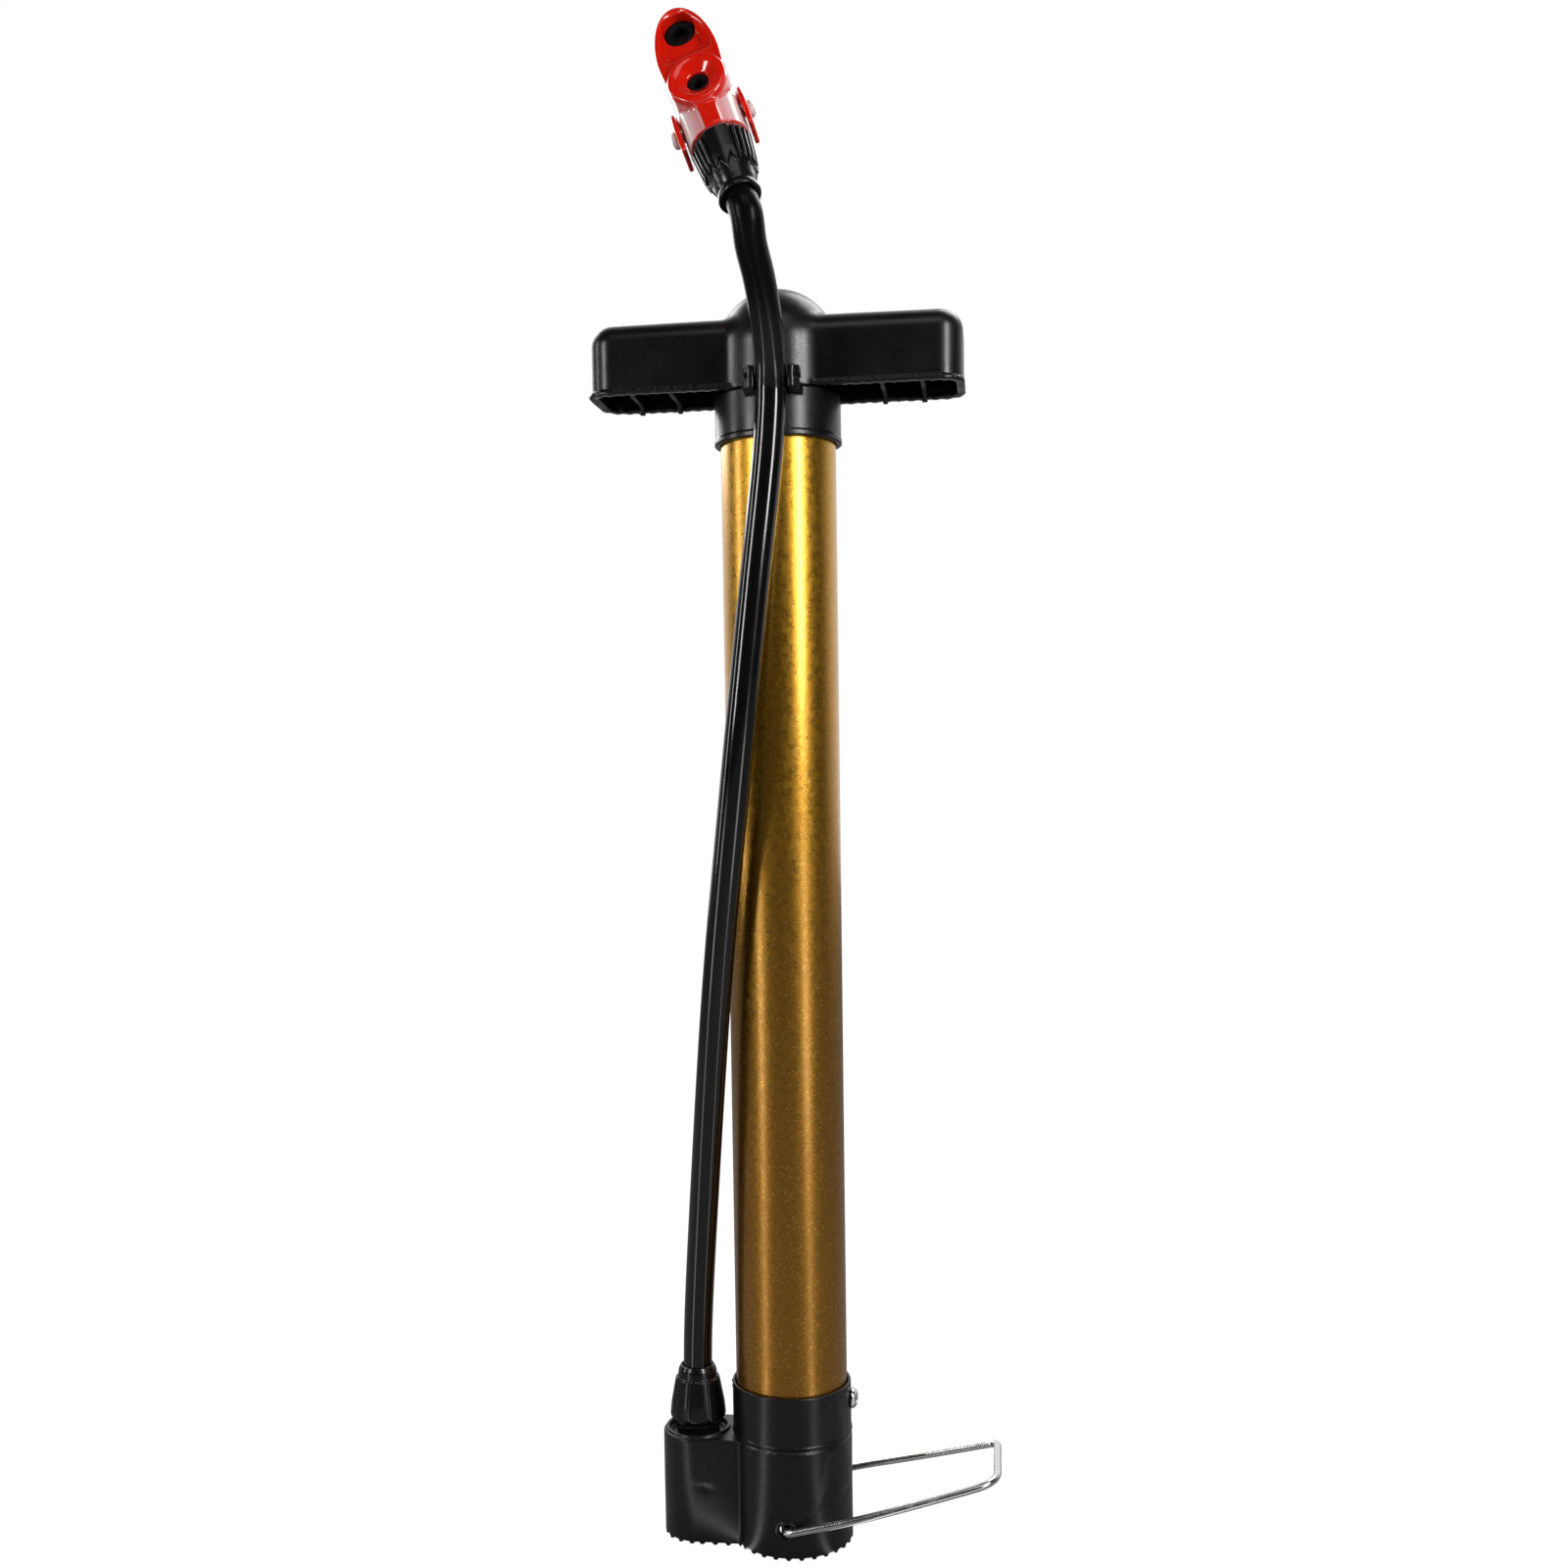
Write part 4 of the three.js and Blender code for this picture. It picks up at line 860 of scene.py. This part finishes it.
def grip(x, y, z, inset, fillet):
    """The solid outer form of the handle, bar and dome, moved in by inset."""
    half_length = HANDLE_HALF_LENGTH - inset
    half_depth = HANDLE_HALF_DEPTH - inset
    plan = rounded_rectangle(x, y, half_length, half_depth, HANDLE_CORNER - inset)
    sag = 0.25 * (np.abs(x) / HANDLE_HALF_LENGTH) ** 2
    block = meet(plan, z - HANDLE_TOP + inset + sag, HANDLE_EDGE - inset)
    radius = np.hypot(x, y)
    shoulder = DOME_TOP - DOME_RADIUS
    side = radius - DOME_RADIUS + inset
    cap = np.sqrt(radius**2 + np.maximum(z - shoulder, 0) ** 2) - DOME_RADIUS + inset
    return join(block, np.maximum(side, cap), fillet)


def handle_field(x, y, z):
    outer = grip(x, y, z, 0, 1.6) + 0.05 * wobble(x, y, z, 34, 8)
    lip = rounded_rectangle(x, y, HANDLE_HALF_LENGTH + 0.5, HANDLE_HALF_DEPTH + 0.5, HANDLE_CORNER)
    ragged = 0.22 * np.sin(x * 2.9 + 1.3 * np.sin(x * 0.7)) * np.sin(x * 0.53 + y)
    band = np.maximum(lip, z - HANDLE_BOTTOM - 1.3 - ragged)
    tooth = 0.14 * np.sin(x * 5.2) * np.sin(z * 4.1 + x)
    body = join(outer, band + tooth, 0.3)
    floor = HANDLE_BOTTOM + 0.1 * np.sin(x * 1.7) + 0.08 * wobble(x, y, 0, 9, 2)
    body = meet(body, floor - z, 0.2)
    body = cut(body, grip(x, y, z, HANDLE_WALL, 1.0), 0.2)
    depth = HANDLE_HALF_DEPTH - 1
    inside = grip(x, y, z, 1, 1.0)
    for place in RIB_PLACES:
        hook = 2.4 * bell(y - depth + 2.2, 1.5)
        low = HANDLE_BOTTOM + 1.1 - hook + 1.4 * bell(y + depth, 6)
        half_width = RIB_HALF_WIDTH + 0.4 * bell(z - HANDLE_BOTTOM + 1.4, 0.6)
        plate = np.maximum(np.abs(x - place) - half_width, low - z)
        plate = np.maximum(plate, np.maximum(np.abs(y) - depth, z - HANDLE_TOP + 1))
        body = join(body, np.maximum(plate, inside), 0.4)
    hub = np.maximum(np.hypot(x, y) - HUB_RADIUS, between(z, HUB_BOTTOM, DOME_TOP - 2))
    body = join(body, hub, 0.5)
    bore = np.maximum(np.hypot(x, y) - ROD_BORE, z - ROD_TOP - 0.3)
    return cut(body, bore, 0.2)


def add_handle():
    heights = spaced(353.9, (360.2, 0.42), (378, 0.7), (388, 0.7))
    shape = skin(handle_field, spaced(-57.3, (57.3, 0.55)), spaced(-19.3, (19.3, 0.55)), heights)
    add_mesh("t_handle", shape, BLACK, "handle_and_rod", ["handle"])


# ---------------------------------------------------------------- hose nuts


def base_nut_shape(radius, angle, height):
    """Eight wide panels with narrow steps between them, on the outer wall only."""
    share = np.abs((angle * NUT_PANELS / (2 * np.pi) + 0.5) % 1 - 0.5) * 2
    panel = smooth((0.86 - share) / 0.1)
    foot = np.clip((height - NUT_BOTTOM - 1.2) / 1.2, 0, 1)
    top = np.clip((NUT_TOP - 3.7 - height) / 0.5, 0, 1)
    outer = radius > NUT_BORE + 0.15
    return radius + 0.6 * panel * np.minimum(foot, top) * outer


def add_base_nut():
    mouth = HOSE_RADIUS + 0.3
    profile = [
        (6.5, NUT_FLANGE_BOTTOM), (6.95, NUT_FLANGE_BOTTOM), (7.0, NUT_BOTTOM - 0.3),
        (NUT_FOOT_RADIUS, NUT_BOTTOM), (NUT_FOOT_RADIUS + 0.1, NUT_BOTTOM + 1.2),
        (NUT_WIDE_RADIUS, NUT_BOTTOM + 3), (NUT_WIDE_RADIUS - 0.4, NUT_BOTTOM + 7),
        (NUT_NECK_RADIUS, NUT_TOP - 3.6), (6.05, NUT_TOP - 1.6), (5.3, NUT_TOP),
        (mouth, NUT_TOP), (mouth, NUT_BOTTOM + 8), (NUT_BORE, NUT_BOTTOM + 7),
        (NUT_BORE, NUT_BOTTOM - 0.8), (6.5, NUT_BOTTOM - 1), (6.5, NUT_FLANGE_BOTTOM),
    ]
    points, faces = lathe(refined(softened(profile, 0.5), 0.35), 240, base_nut_shape)
    points = turned_to(points, turn(11, "Z"), (-BOSS_OFFSET, 0, 0))
    add_mesh("base_nut", (points, faces), NUT_BLACK, "pump_body", ["base_hose_nut"], 35)


def off_front(angle):
    """How far an angle is from the front, -Y, in radians."""
    return np.abs((angle + np.pi / 2 + np.pi) % (2 * np.pi) - np.pi)


def head_nut_shape(radius, angle, height):
    """Ribs on the upper half, one smooth panel in front, and a zigzag line below the ribs."""
    share = np.abs((angle * HEAD_NUT_RIBS / (2 * np.pi)) % 1 - 0.5) * 2
    rib = np.where(off_front(angle) < 0.4, 1.0, smooth((0.66 - share) / 0.3))
    zig = np.abs((angle * HEAD_NUT_RIBS / (4 * np.pi)) % 1 - 0.5) * 2
    line = 6.2 + 3.2 * zig
    lift = np.clip((height - line) / 0.3, 0, 1)
    edge = bell(height - line, 0.28) * (height < 9.6)
    crown = np.clip((HEAD_NUT_TOP - 0.1 - height) / 0.4, 0, 1)
    outer = radius > NUT_BORE + 0.1
    low = 0.25 * (1 - lift) * (height > 4)
    return radius + (0.62 * rib * lift * crown - low + 0.3 * edge) * outer


def add_head_nut():
    profile = [
        (5.2, 0), (HEAD_NUT_LIP - 0.15, 0), (HEAD_NUT_LIP, 0.5), (HEAD_NUT_LIP, 1.5),
        (HEAD_NUT_LIP - 0.6, 2.3), (HEAD_NUT_LIP, 4.3), (HEAD_NUT_RADIUS - 0.3, 9.3),
        (HEAD_NUT_RADIUS, 11), (HEAD_NUT_RADIUS + 0.75, HEAD_NUT_TOP), (6.7, HEAD_NUT_TOP),
        (NUT_BORE, HEAD_NUT_TOP - 3), (NUT_BORE, 4), (5.2, 3), (5.2, 0),
    ]
    points, faces = lathe(refined(softened(profile, 0.35), 0.24), 392, head_nut_shape)
    x, y, s = points.T
    beside_panel = np.clip((off_front(np.arctan2(y, x)) - 0.38) / 0.06, 0, 1)
    top = np.clip((s - HEAD_NUT_TOP + 1.6) / 1.6, 0, 1)
    points[:, 2] -= 0.8 * beside_panel * top
    shape = on_head(points), faces
    add_mesh("head_nut", shape, NUT_BLACK, "valve_head", ["head_hose_nut"], 35)


# ---------------------------------------------------------------- hose


def hose_line():
    """The centre line: a centripetal Catmull-Rom curve, spaced evenly along its length."""
    points = np.array(HOSE_POINTS, float)
    points = np.vstack([2 * points[0] - points[1], points, 2 * points[-1] - points[-2]])
    made = []
    for p0, p1, p2, p3 in zip(points, points[1:], points[2:], points[3:]):
        knots = np.cumsum([0, *(np.linalg.norm(b - a) ** 0.5 for a, b in ((p0, p1), (p1, p2), (p2, p3)))])
        t0, t1, t2, t3 = knots
        t = np.linspace(t1, t2, 200)[:, None]
        a1 = ((t1 - t) * p0 + (t - t0) * p1) / (t1 - t0)
        a2 = ((t2 - t) * p1 + (t - t1) * p2) / (t2 - t1)
        a3 = ((t3 - t) * p2 + (t - t2) * p3) / (t3 - t2)
        b1 = ((t2 - t) * a1 + (t - t0) * a2) / (t2 - t0)
        b2 = ((t3 - t) * a2 + (t - t1) * a3) / (t3 - t1)
        made.append(((t2 - t) * b1 + (t - t1) * b2) / (t2 - t1))
    line = np.vstack(made)
    run = np.r_[0, np.cumsum(np.linalg.norm(np.diff(line, axis=0), axis=1))]
    even = np.linspace(0, run[-1], 2400)
    return even, np.stack([np.interp(even, run, line[:, i]) for i in range(3)], 1)


def add_hose():
    """Eight lengths: six lie across the joins between neighbouring CAD pieces and ride on no body, and the
    two ends ride.
    """
    run, line = hose_line()
    length = run[-1]
    cuts = np.linspace(HOSE_FIRST_CUT, length - HOSE_LAST_CUT, HOSE_PIECES - 1)
    ends = [0, *cuts, length]
    middles = [(a + b) / 2 for a, b in zip(ends, ends[1:])]
    nodes = [f"hose_{i + 1}" for i in range(HOSE_PIECES)]

    def place_at(along):
        return np.array([np.interp(along, run, line[:, i]) for i in range(3)])

    def length_of_hose(name, start, end, body, replaced):
        steps = max(4, round((end - start) / 1.3))
        path = np.array([place_at(along) for along in np.linspace(start, end, steps + 1)])
        return add_mesh(name, sweep(path, HOSE_RADIUS, 36), HOSE, body, replaced, 50)

    length_of_hose("hose_foot", 0, middles[0], "pump_body", [nodes[0]])
    for i in range(HOSE_PIECES - 1):
        piece = length_of_hose(f"hose_run_{i + 1}", middles[i], middles[i + 1], None, [nodes[i + 1]])
        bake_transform(piece)
    length_of_hose("hose_top", middles[-1], length, "valve_head", [])


# ---------------------------------------------------------------- valve head


def head_slab(x, depth, s):
    """The flat face of the head and its egg-shaped plan, with a bowl sunk into its tip."""
    past = np.maximum(s - TIP_START, 0) * HEAD_HALF_WIDTH / TIP_LENGTH
    share = np.clip((s - PRESTA_PLACE) / (TIP_START - PRESTA_PLACE), 0, 1)
    half_width = PRESTA_RING + (HEAD_HALF_WIDTH - PRESTA_RING) * share
    egg = np.sqrt(x**2 + past**2 + np.minimum(s - PRESTA_PLACE, 0) ** 2) - half_width
    slab = meet(egg, between(depth, 0, HEAD_FACE), 0.5)
    narrowing = HEAD_HALF_WIDTH / TIP_LENGTH
    steepness = np.sqrt(x**2 + (narrowing * past) ** 2) / np.maximum(np.hypot(x, past), 1e-6)
    from_edge = -egg / np.maximum(steepness, narrowing)
    bowl = smooth((from_edge - 0.3) / 3.2) * smooth((s - PRESTA_PLACE - PRESTA_RING) / 6)
    dish = np.maximum(HEAD_FACE - DISH_DEPTH * bowl - depth, TIP_START - 1 - s)
    return slab, dish


def head_keel(x, depth, s):
    """The raised strip down the front of the trunk, wider below the Presta ring."""
    half_width = 2.2 + 1.1 * bell(s - PRESTA_PLACE + 6.6, 2.2)
    keel = np.maximum(np.abs(x) - half_width, between(s, HEAD_BOTTOM, PRESTA_PLACE - 5))
    return meet(keel, between(depth, 0, HEAD_HALF_WIDTH + 0.25), 0.25)


def head_field(x, y, s):
    """The red body: a round trunk and neck, the flat face, the Presta ring, the keel and the bores."""
    depth = -y
    radius = np.hypot(x, y)
    past = np.maximum(s - TIP_START, 0) * HEAD_HALF_WIDTH / TIP_LENGTH
    trunk = meet(np.hypot(radius, past) - HEAD_HALF_WIDTH, HEAD_BOTTOM - s, 0.15)
    neck = np.maximum(radius - HEAD_NECK, between(s, 9, HEAD_BOTTOM + 1))
    slab, dish = head_slab(x, depth, s)
    body = cut(join(join(trunk, neck, 0.2), slab, 0.4), dish, 0.25)
    ring_radius = np.hypot(x, s - PRESTA_PLACE)
    ring = meet(ring_radius - PRESTA_RING, between(depth, 0, PRESTA_FACE), 0.75)
    body = join(body, ring, 0.7)
    body = join(body, head_keel(x, depth, s), 1.2)
    funnel = (ring_radius - PRESTA_BORE - (depth - PRESTA_FACE + 2) * 1.55) * 0.54
    funnel = np.maximum(funnel, PRESTA_FACE - 2 - depth)
    body = cut(body, funnel, 0.45)
    presta = np.maximum(ring_radius - PRESTA_BORE, between(depth, 2, PRESTA_FACE - 1))
    schrader = np.hypot(x, s - SCHRADER_PLACE) - SCHRADER_BORE
    schrader = np.maximum(schrader, between(depth, 1, HEAD_FACE + 5))
    body = cut(body, np.minimum(presta, schrader), 0.2)
    body = cut(body, np.maximum(radius - NIPPLE_BORE, s - 22.5), 0.2)
    pin = np.maximum(np.hypot(depth + PIN_DEPTH, s - PIN_PLACE) - PIN_HOLE, 4 - np.abs(x))
    return cut(body, pin, 0.2)


def add_head():
    heights = spaced(8.6, (64.6, 0.36))
    points, faces = skin(head_field, spaced(-9.3, (9.3, 0.36)), spaced(-11.2, (9, 0.36)), heights)
    add_mesh("head_moulding", (on_head(points), faces), RED, "valve_head", ["head_body"])


def add_grommet(port, outer, inner, depth, face, place):
    """A rubber cup with a rounded mouth, seated in a port."""
    profile = [
        (0, depth), (outer, depth), (outer, face - 0.5), (outer - 0.5, face),
        (inner + 0.5, face - 0.1), (inner, face - 0.9), (inner, depth + 1.4), (0, depth + 1.2),
    ]
    points, faces = lathe(refined(softened(profile, 0.35), 0.7), 64)
    points = turned_to(points, PORT_TURN, (0, 0, place))
    shape = on_head(points), faces
    add_mesh(f"{port}_cup", shape, RUBBER, "valve_head", [f"{port}_grommet"], 60)


def lever_arm(side, y, s):
    """A leaf-shaped arm, thickest in its middle."""
    along = np.clip((s - ARM_START) / 14, 0, 1)
    swell = np.sin(np.pi * np.clip(along * 0.72 + 0.24, 0, 1)) ** 0.8
    leaf = np.abs(side - (LEVER_INNER + LEVER_OUTER) / 2) - 0.35 - 0.4 * swell
    front = -y - 4.2 + 0.02 * np.maximum(s - 26, 0) ** 2 + 0.012 * np.maximum(22 - s, 0) ** 2
    arm = meet(leaf, np.maximum(front, y - 4.8), 0.3)
    return meet(arm, between(s, ARM_START, ARM_END), 0.5)


def lever_link(side, y, s):
    """A link from the arm to the yoke, between two slanted edges."""
    low_slant = (y - 7.6) * 0.949 - (s - PIN_PLACE + 4.5) * 0.316
    high_slant = (s - PIN_PLACE - 4) * 0.637 - (y - 2.4) * 0.771
    link = np.maximum(np.maximum(low_slant, high_slant), between(s, PIN_PLACE - 4.5, YOKE_END))
    link = np.maximum(link, between(y, 2.4, LEVER_BACK + LEVER_THICKNESS))
    return meet(link, between(side, LEVER_INNER, LEVER_OUTER), 0.4)


def lever_field(x, y, s):
    """The thumb lever: an arm and a link on each side, a yoke and a ridged pad behind."""
    side = np.abs(x)
    back = LEVER_BACK + LEVER_THICKNESS
    pad = rounded_rectangle(x, s - PAD_PLACE, 8.2, 11, 5)
    ridge = 0.25 * np.maximum(np.cos((s - PAD_PLACE) * 2.4), 0) * (np.abs(s - PAD_PLACE - 4.6) < 4.4)
    pad = meet(pad, between(y, LEVER_BACK, back - 0.25 + ridge * (side < 6)), 0.5)
    yoke = meet(between(side, -1, LEVER_OUTER), between(s, YOKE_END - 3.6, YOKE_END), 0.4)
    yoke = meet(yoke, between(y, LEVER_BACK, back), 0.4)
    arm_and_link = join(lever_arm(side, y, s), lever_link(side, y, s), 0.5)
    body = join(arm_and_link, join(pad, yoke, 0.8), 0.5)
    return cut(body, np.hypot(y - PIN_DEPTH, s - PIN_PLACE) - PIN_HOLE, 0.15)


def add_lever():
    heights = spaced(18.5, (64, 0.38))
    points, faces = skin(lever_field, spaced(-11.3, (11.3, 0.36)), spaced(-4.9, (11.8, 0.38)), heights)
    shape = on_head(points), faces
    add_mesh("thumb_lever_moulding", shape, RED, "thumb_lever", ["head_lever"])


def add_pin():
    end = LEVER_OUTER + 1.9
    start = LEVER_OUTER + 0.2
    rivet_head = [(0, -end), (1.3, -end), (2.2, -end + 0.45), (2.5, -start - 0.4), (2.3, -start)]
    profile = [*rivet_head, (1.5, -start)]
    profile += [(r, -z) for r, z in reversed(profile)]
    points, faces = lathe(refined(softened(profile, 0.4), 1.2), 40)
    points = turned_to(points, turn(90, "Y"), (0, PIN_DEPTH, PIN_PLACE))
    # the rivet's pale pink colour is painted highlight
    add_mesh("lever_rivet", (on_head(points), faces), PALE_PAINTED_HIGHLIGHT, "valve_head", ["lever_pin"])


# ---------------------------------------------------------------- kept CAD nodes

KEPT = (
    (RUBBER, "barrel_gasket", "piston_cup", "valve_ball"),
    (BRASS, "base_nipple", "head_nipple", "rod_bush"),
    (STEEL, "bumper_spring", "piston_nut", "piston_washer", "rod_lock_nut", "valve_spring"),
    (BLACK, "piston_body"),
    (NUT_BLACK, "schrader_pin"),
)


def paint_kept():
    for paint, *names in KEPT:
        for name in names:
            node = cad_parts[name]
            if not node.material_slots:
                node.data.materials.append(None)
            for place in node.material_slots:
                place.material = paint


# ---------------------------------------------------------------- studio


FRONT_LEFT, FRONT_RIGHT = -45, 47  # azimuth of the two front lamps, degrees from -Y
LAMP_AIM = 220  # height that the lamps point at


def reflected_lamps(paint, path):
    """Carries the two front lamps on across the floor, for reflections only."""
    axes = paint.axes()
    azimuth = paint.maths("ARCTAN2", axes["X"], paint.minus(0.0, axes["Y"]))
    total = 0.105
    for degrees, width, strength in ((FRONT_LEFT, 5.0, 3.2), (FRONT_RIGHT, 6.0, 2.0)):
        off = paint.maths("ABSOLUTE", paint.minus(azimuth, math.radians(degrees)))
        total = paint.plus(paint.spread(off, 0.0, math.radians(width), strength, 0.0), total)
    return paint.times(total, path.outputs["Is Glossy Ray"])


def add_floor():
    """White to the camera; in reflections it is dark with the front lamps carried on across it."""
    reach = 3.0  # metres each way
    points = [(x * reach, y * reach, 0) for x, y in ((-1, -1), (1, -1), (1, 1), (-1, 1))]
    paint = Paint("floor")
    tone = paint.mix(paint.noise(400, 2), (0.86, 0.86, 0.87), (0.9, 0.9, 0.9))
    paint.set(Base_Color=tone, Roughness=0.6)
    glow = paint.node("ShaderNodeEmission", {"Color": (1, 1, 1, 1), "Strength": 1.1})
    path = paint.node("ShaderNodeLightPath")
    white = paint.node("ShaderNodeMixShader", {0: 0.92, 1: paint.surface.outputs[0], 2: glow.outputs[0]})
    dull = paint.node("ShaderNodeBsdfDiffuse", {"Color": (0.14, 0.14, 0.14, 1)})
    lamps = paint.node("ShaderNodeEmission", {"Strength": reflected_lamps(paint, path)})
    lit = paint.node("ShaderNodeAddShader", {0: dull.outputs[0], 1: lamps.outputs[0]})
    choice = {0: path.outputs["Is Camera Ray"], 1: lit.outputs[0], 2: white.outputs[0]}
    chosen = paint.node("ShaderNodeMixShader", choice)
    paint.feed(paint.tree.nodes["Material Output"].inputs["Surface"], chosen.outputs[0])
    mesh = bpy.data.meshes.new("studio_floor")
    mesh.from_pydata(points, [], [(0, 1, 2, 3)])
    mesh.materials.append(paint.material)
    put_in_scene("studio_floor", mesh)


def add_world():
    """A white backdrop behind the pump and a dim room in front of it; the camera sees plain white."""
    world = bpy.data.worlds.new("studio")
    world.use_nodes = True
    bpy.context.scene.world = world
    sky = Nodes(world.node_tree)
    direction = sky.node("ShaderNodeTexCoord").outputs["Generated"]
    backwards = sky.node("ShaderNodeSeparateXYZ", {"Vector": direction}).outputs["Y"]
    room = sky.spread(backwards, 0.05, 0.8, 0.02, 0.9)
    seen = sky.node("ShaderNodeLightPath").outputs["Is Camera Ray"]
    strength = sky.plus(sky.times(seen, sky.minus(1.0, room)), room)
    background = sky.tree.nodes["Background"]
    sky.feed(background.inputs["Strength"], strength)
    sky.feed(background.inputs["Color"], (1, 1, 1, 1))


def placed(axes, place):
    """The matrix of an object with these axes, as columns, at a place in millimetres."""
    rows = [[*row, p * MM] for row, p in zip(axes, place)]
    return Matrix([*rows, [0, 0, 0, 1]])


def softbox(name, azimuth, distance, height, width, tall, power):
    """A rectangular lamp. Azimuth is in degrees round the pump from -Y, positive towards +X."""
    angle = math.radians(azimuth)
    place = np.array((math.sin(angle), -math.cos(angle), 0)) * distance
    place[2] = height
    lamp = bpy.data.lights.new(name, "AREA")
    lamp.shape = "RECTANGLE"
    lamp.size, lamp.size_y = width * MM, tall * MM
    lamp.energy = power
    thing = put_in_scene(name, lamp)
    thing.visible_camera = False
    away = place - np.array((0, 0, LAMP_AIM))
    away /= np.linalg.norm(away)
    right = np.cross((0, 0, 1), away)
    right /= np.linalg.norm(right)
    up = np.cross(away, right)
    thing.matrix_world = placed(np.c_[right, up, away], place)


CAMERA_PLACE = (64.41, -506.48, 245.5)
CAMERA_TURN = (-4.354, 0.917, 8.451)  # tilt, roll and pan, degrees
FOCAL_SHARE = 1.053  # focal length over image width
SENSOR_WIDTH = 36
CAMERA_SHIFT = (0.0229, 0.067)


def add_camera():
    data = bpy.data.cameras.new("camera")
    data.sensor_width = SENSOR_WIDTH
    data.lens = SENSOR_WIDTH * FOCAL_SHARE
    data.shift_x, data.shift_y = CAMERA_SHIFT
    data.clip_start = 0.01
    camera = put_in_scene("camera", data)
    tilt, roll, pan = CAMERA_TURN
    axes = turn(pan, "Z") @ turn(roll, "Y") @ turn(tilt, "X")
    columns = np.c_[axes[:, 0], axes[:, 2], -axes[:, 1]]
    camera.matrix_world = placed(columns, CAMERA_PLACE)
    bpy.context.scene.camera = camera


add_base()
add_screw()
add_wire()
add_barrel()
add_rod()
add_cap()
add_handle()
add_base_nut()
add_head_nut()
add_hose()
add_head()
add_grommet("schrader", SCHRADER_BORE - 0.05, 2.4, 1.6, HEAD_FACE - DISH_DEPTH - 0.1, SCHRADER_PLACE)
add_grommet("presta", PRESTA_BORE - 0.05, 1.5, 2.4, PRESTA_FACE - 2.3, PRESTA_PLACE)
add_lever()
add_pin()
paint_kept()
add_floor()
add_world()
softbox("left_box", FRONT_LEFT, 620, 440, 95, 300, 1.15)
softbox("left_low_box", FRONT_LEFT, 620, 90, 95, 180, 0.11)
softbox("right_box", FRONT_RIGHT, 620, 465, 125, 350, 2.65)
softbox("right_low_box", FRONT_RIGHT, 620, 90, 125, 180, 0.17)
softbox("far_left_box", -80, 600, 380, 60, 420, 0.6)
softbox("top_box", 10, 500, 900, 500, 300, 0.6)
softbox("back_left_box", -131, 600, 640, 420, 420, 2.2)
softbox("back_right_box", 145, 500, 900, 420, 420, 2.2)
add_camera()
bpy.context.scene.view_settings.view_transform = "Standard"
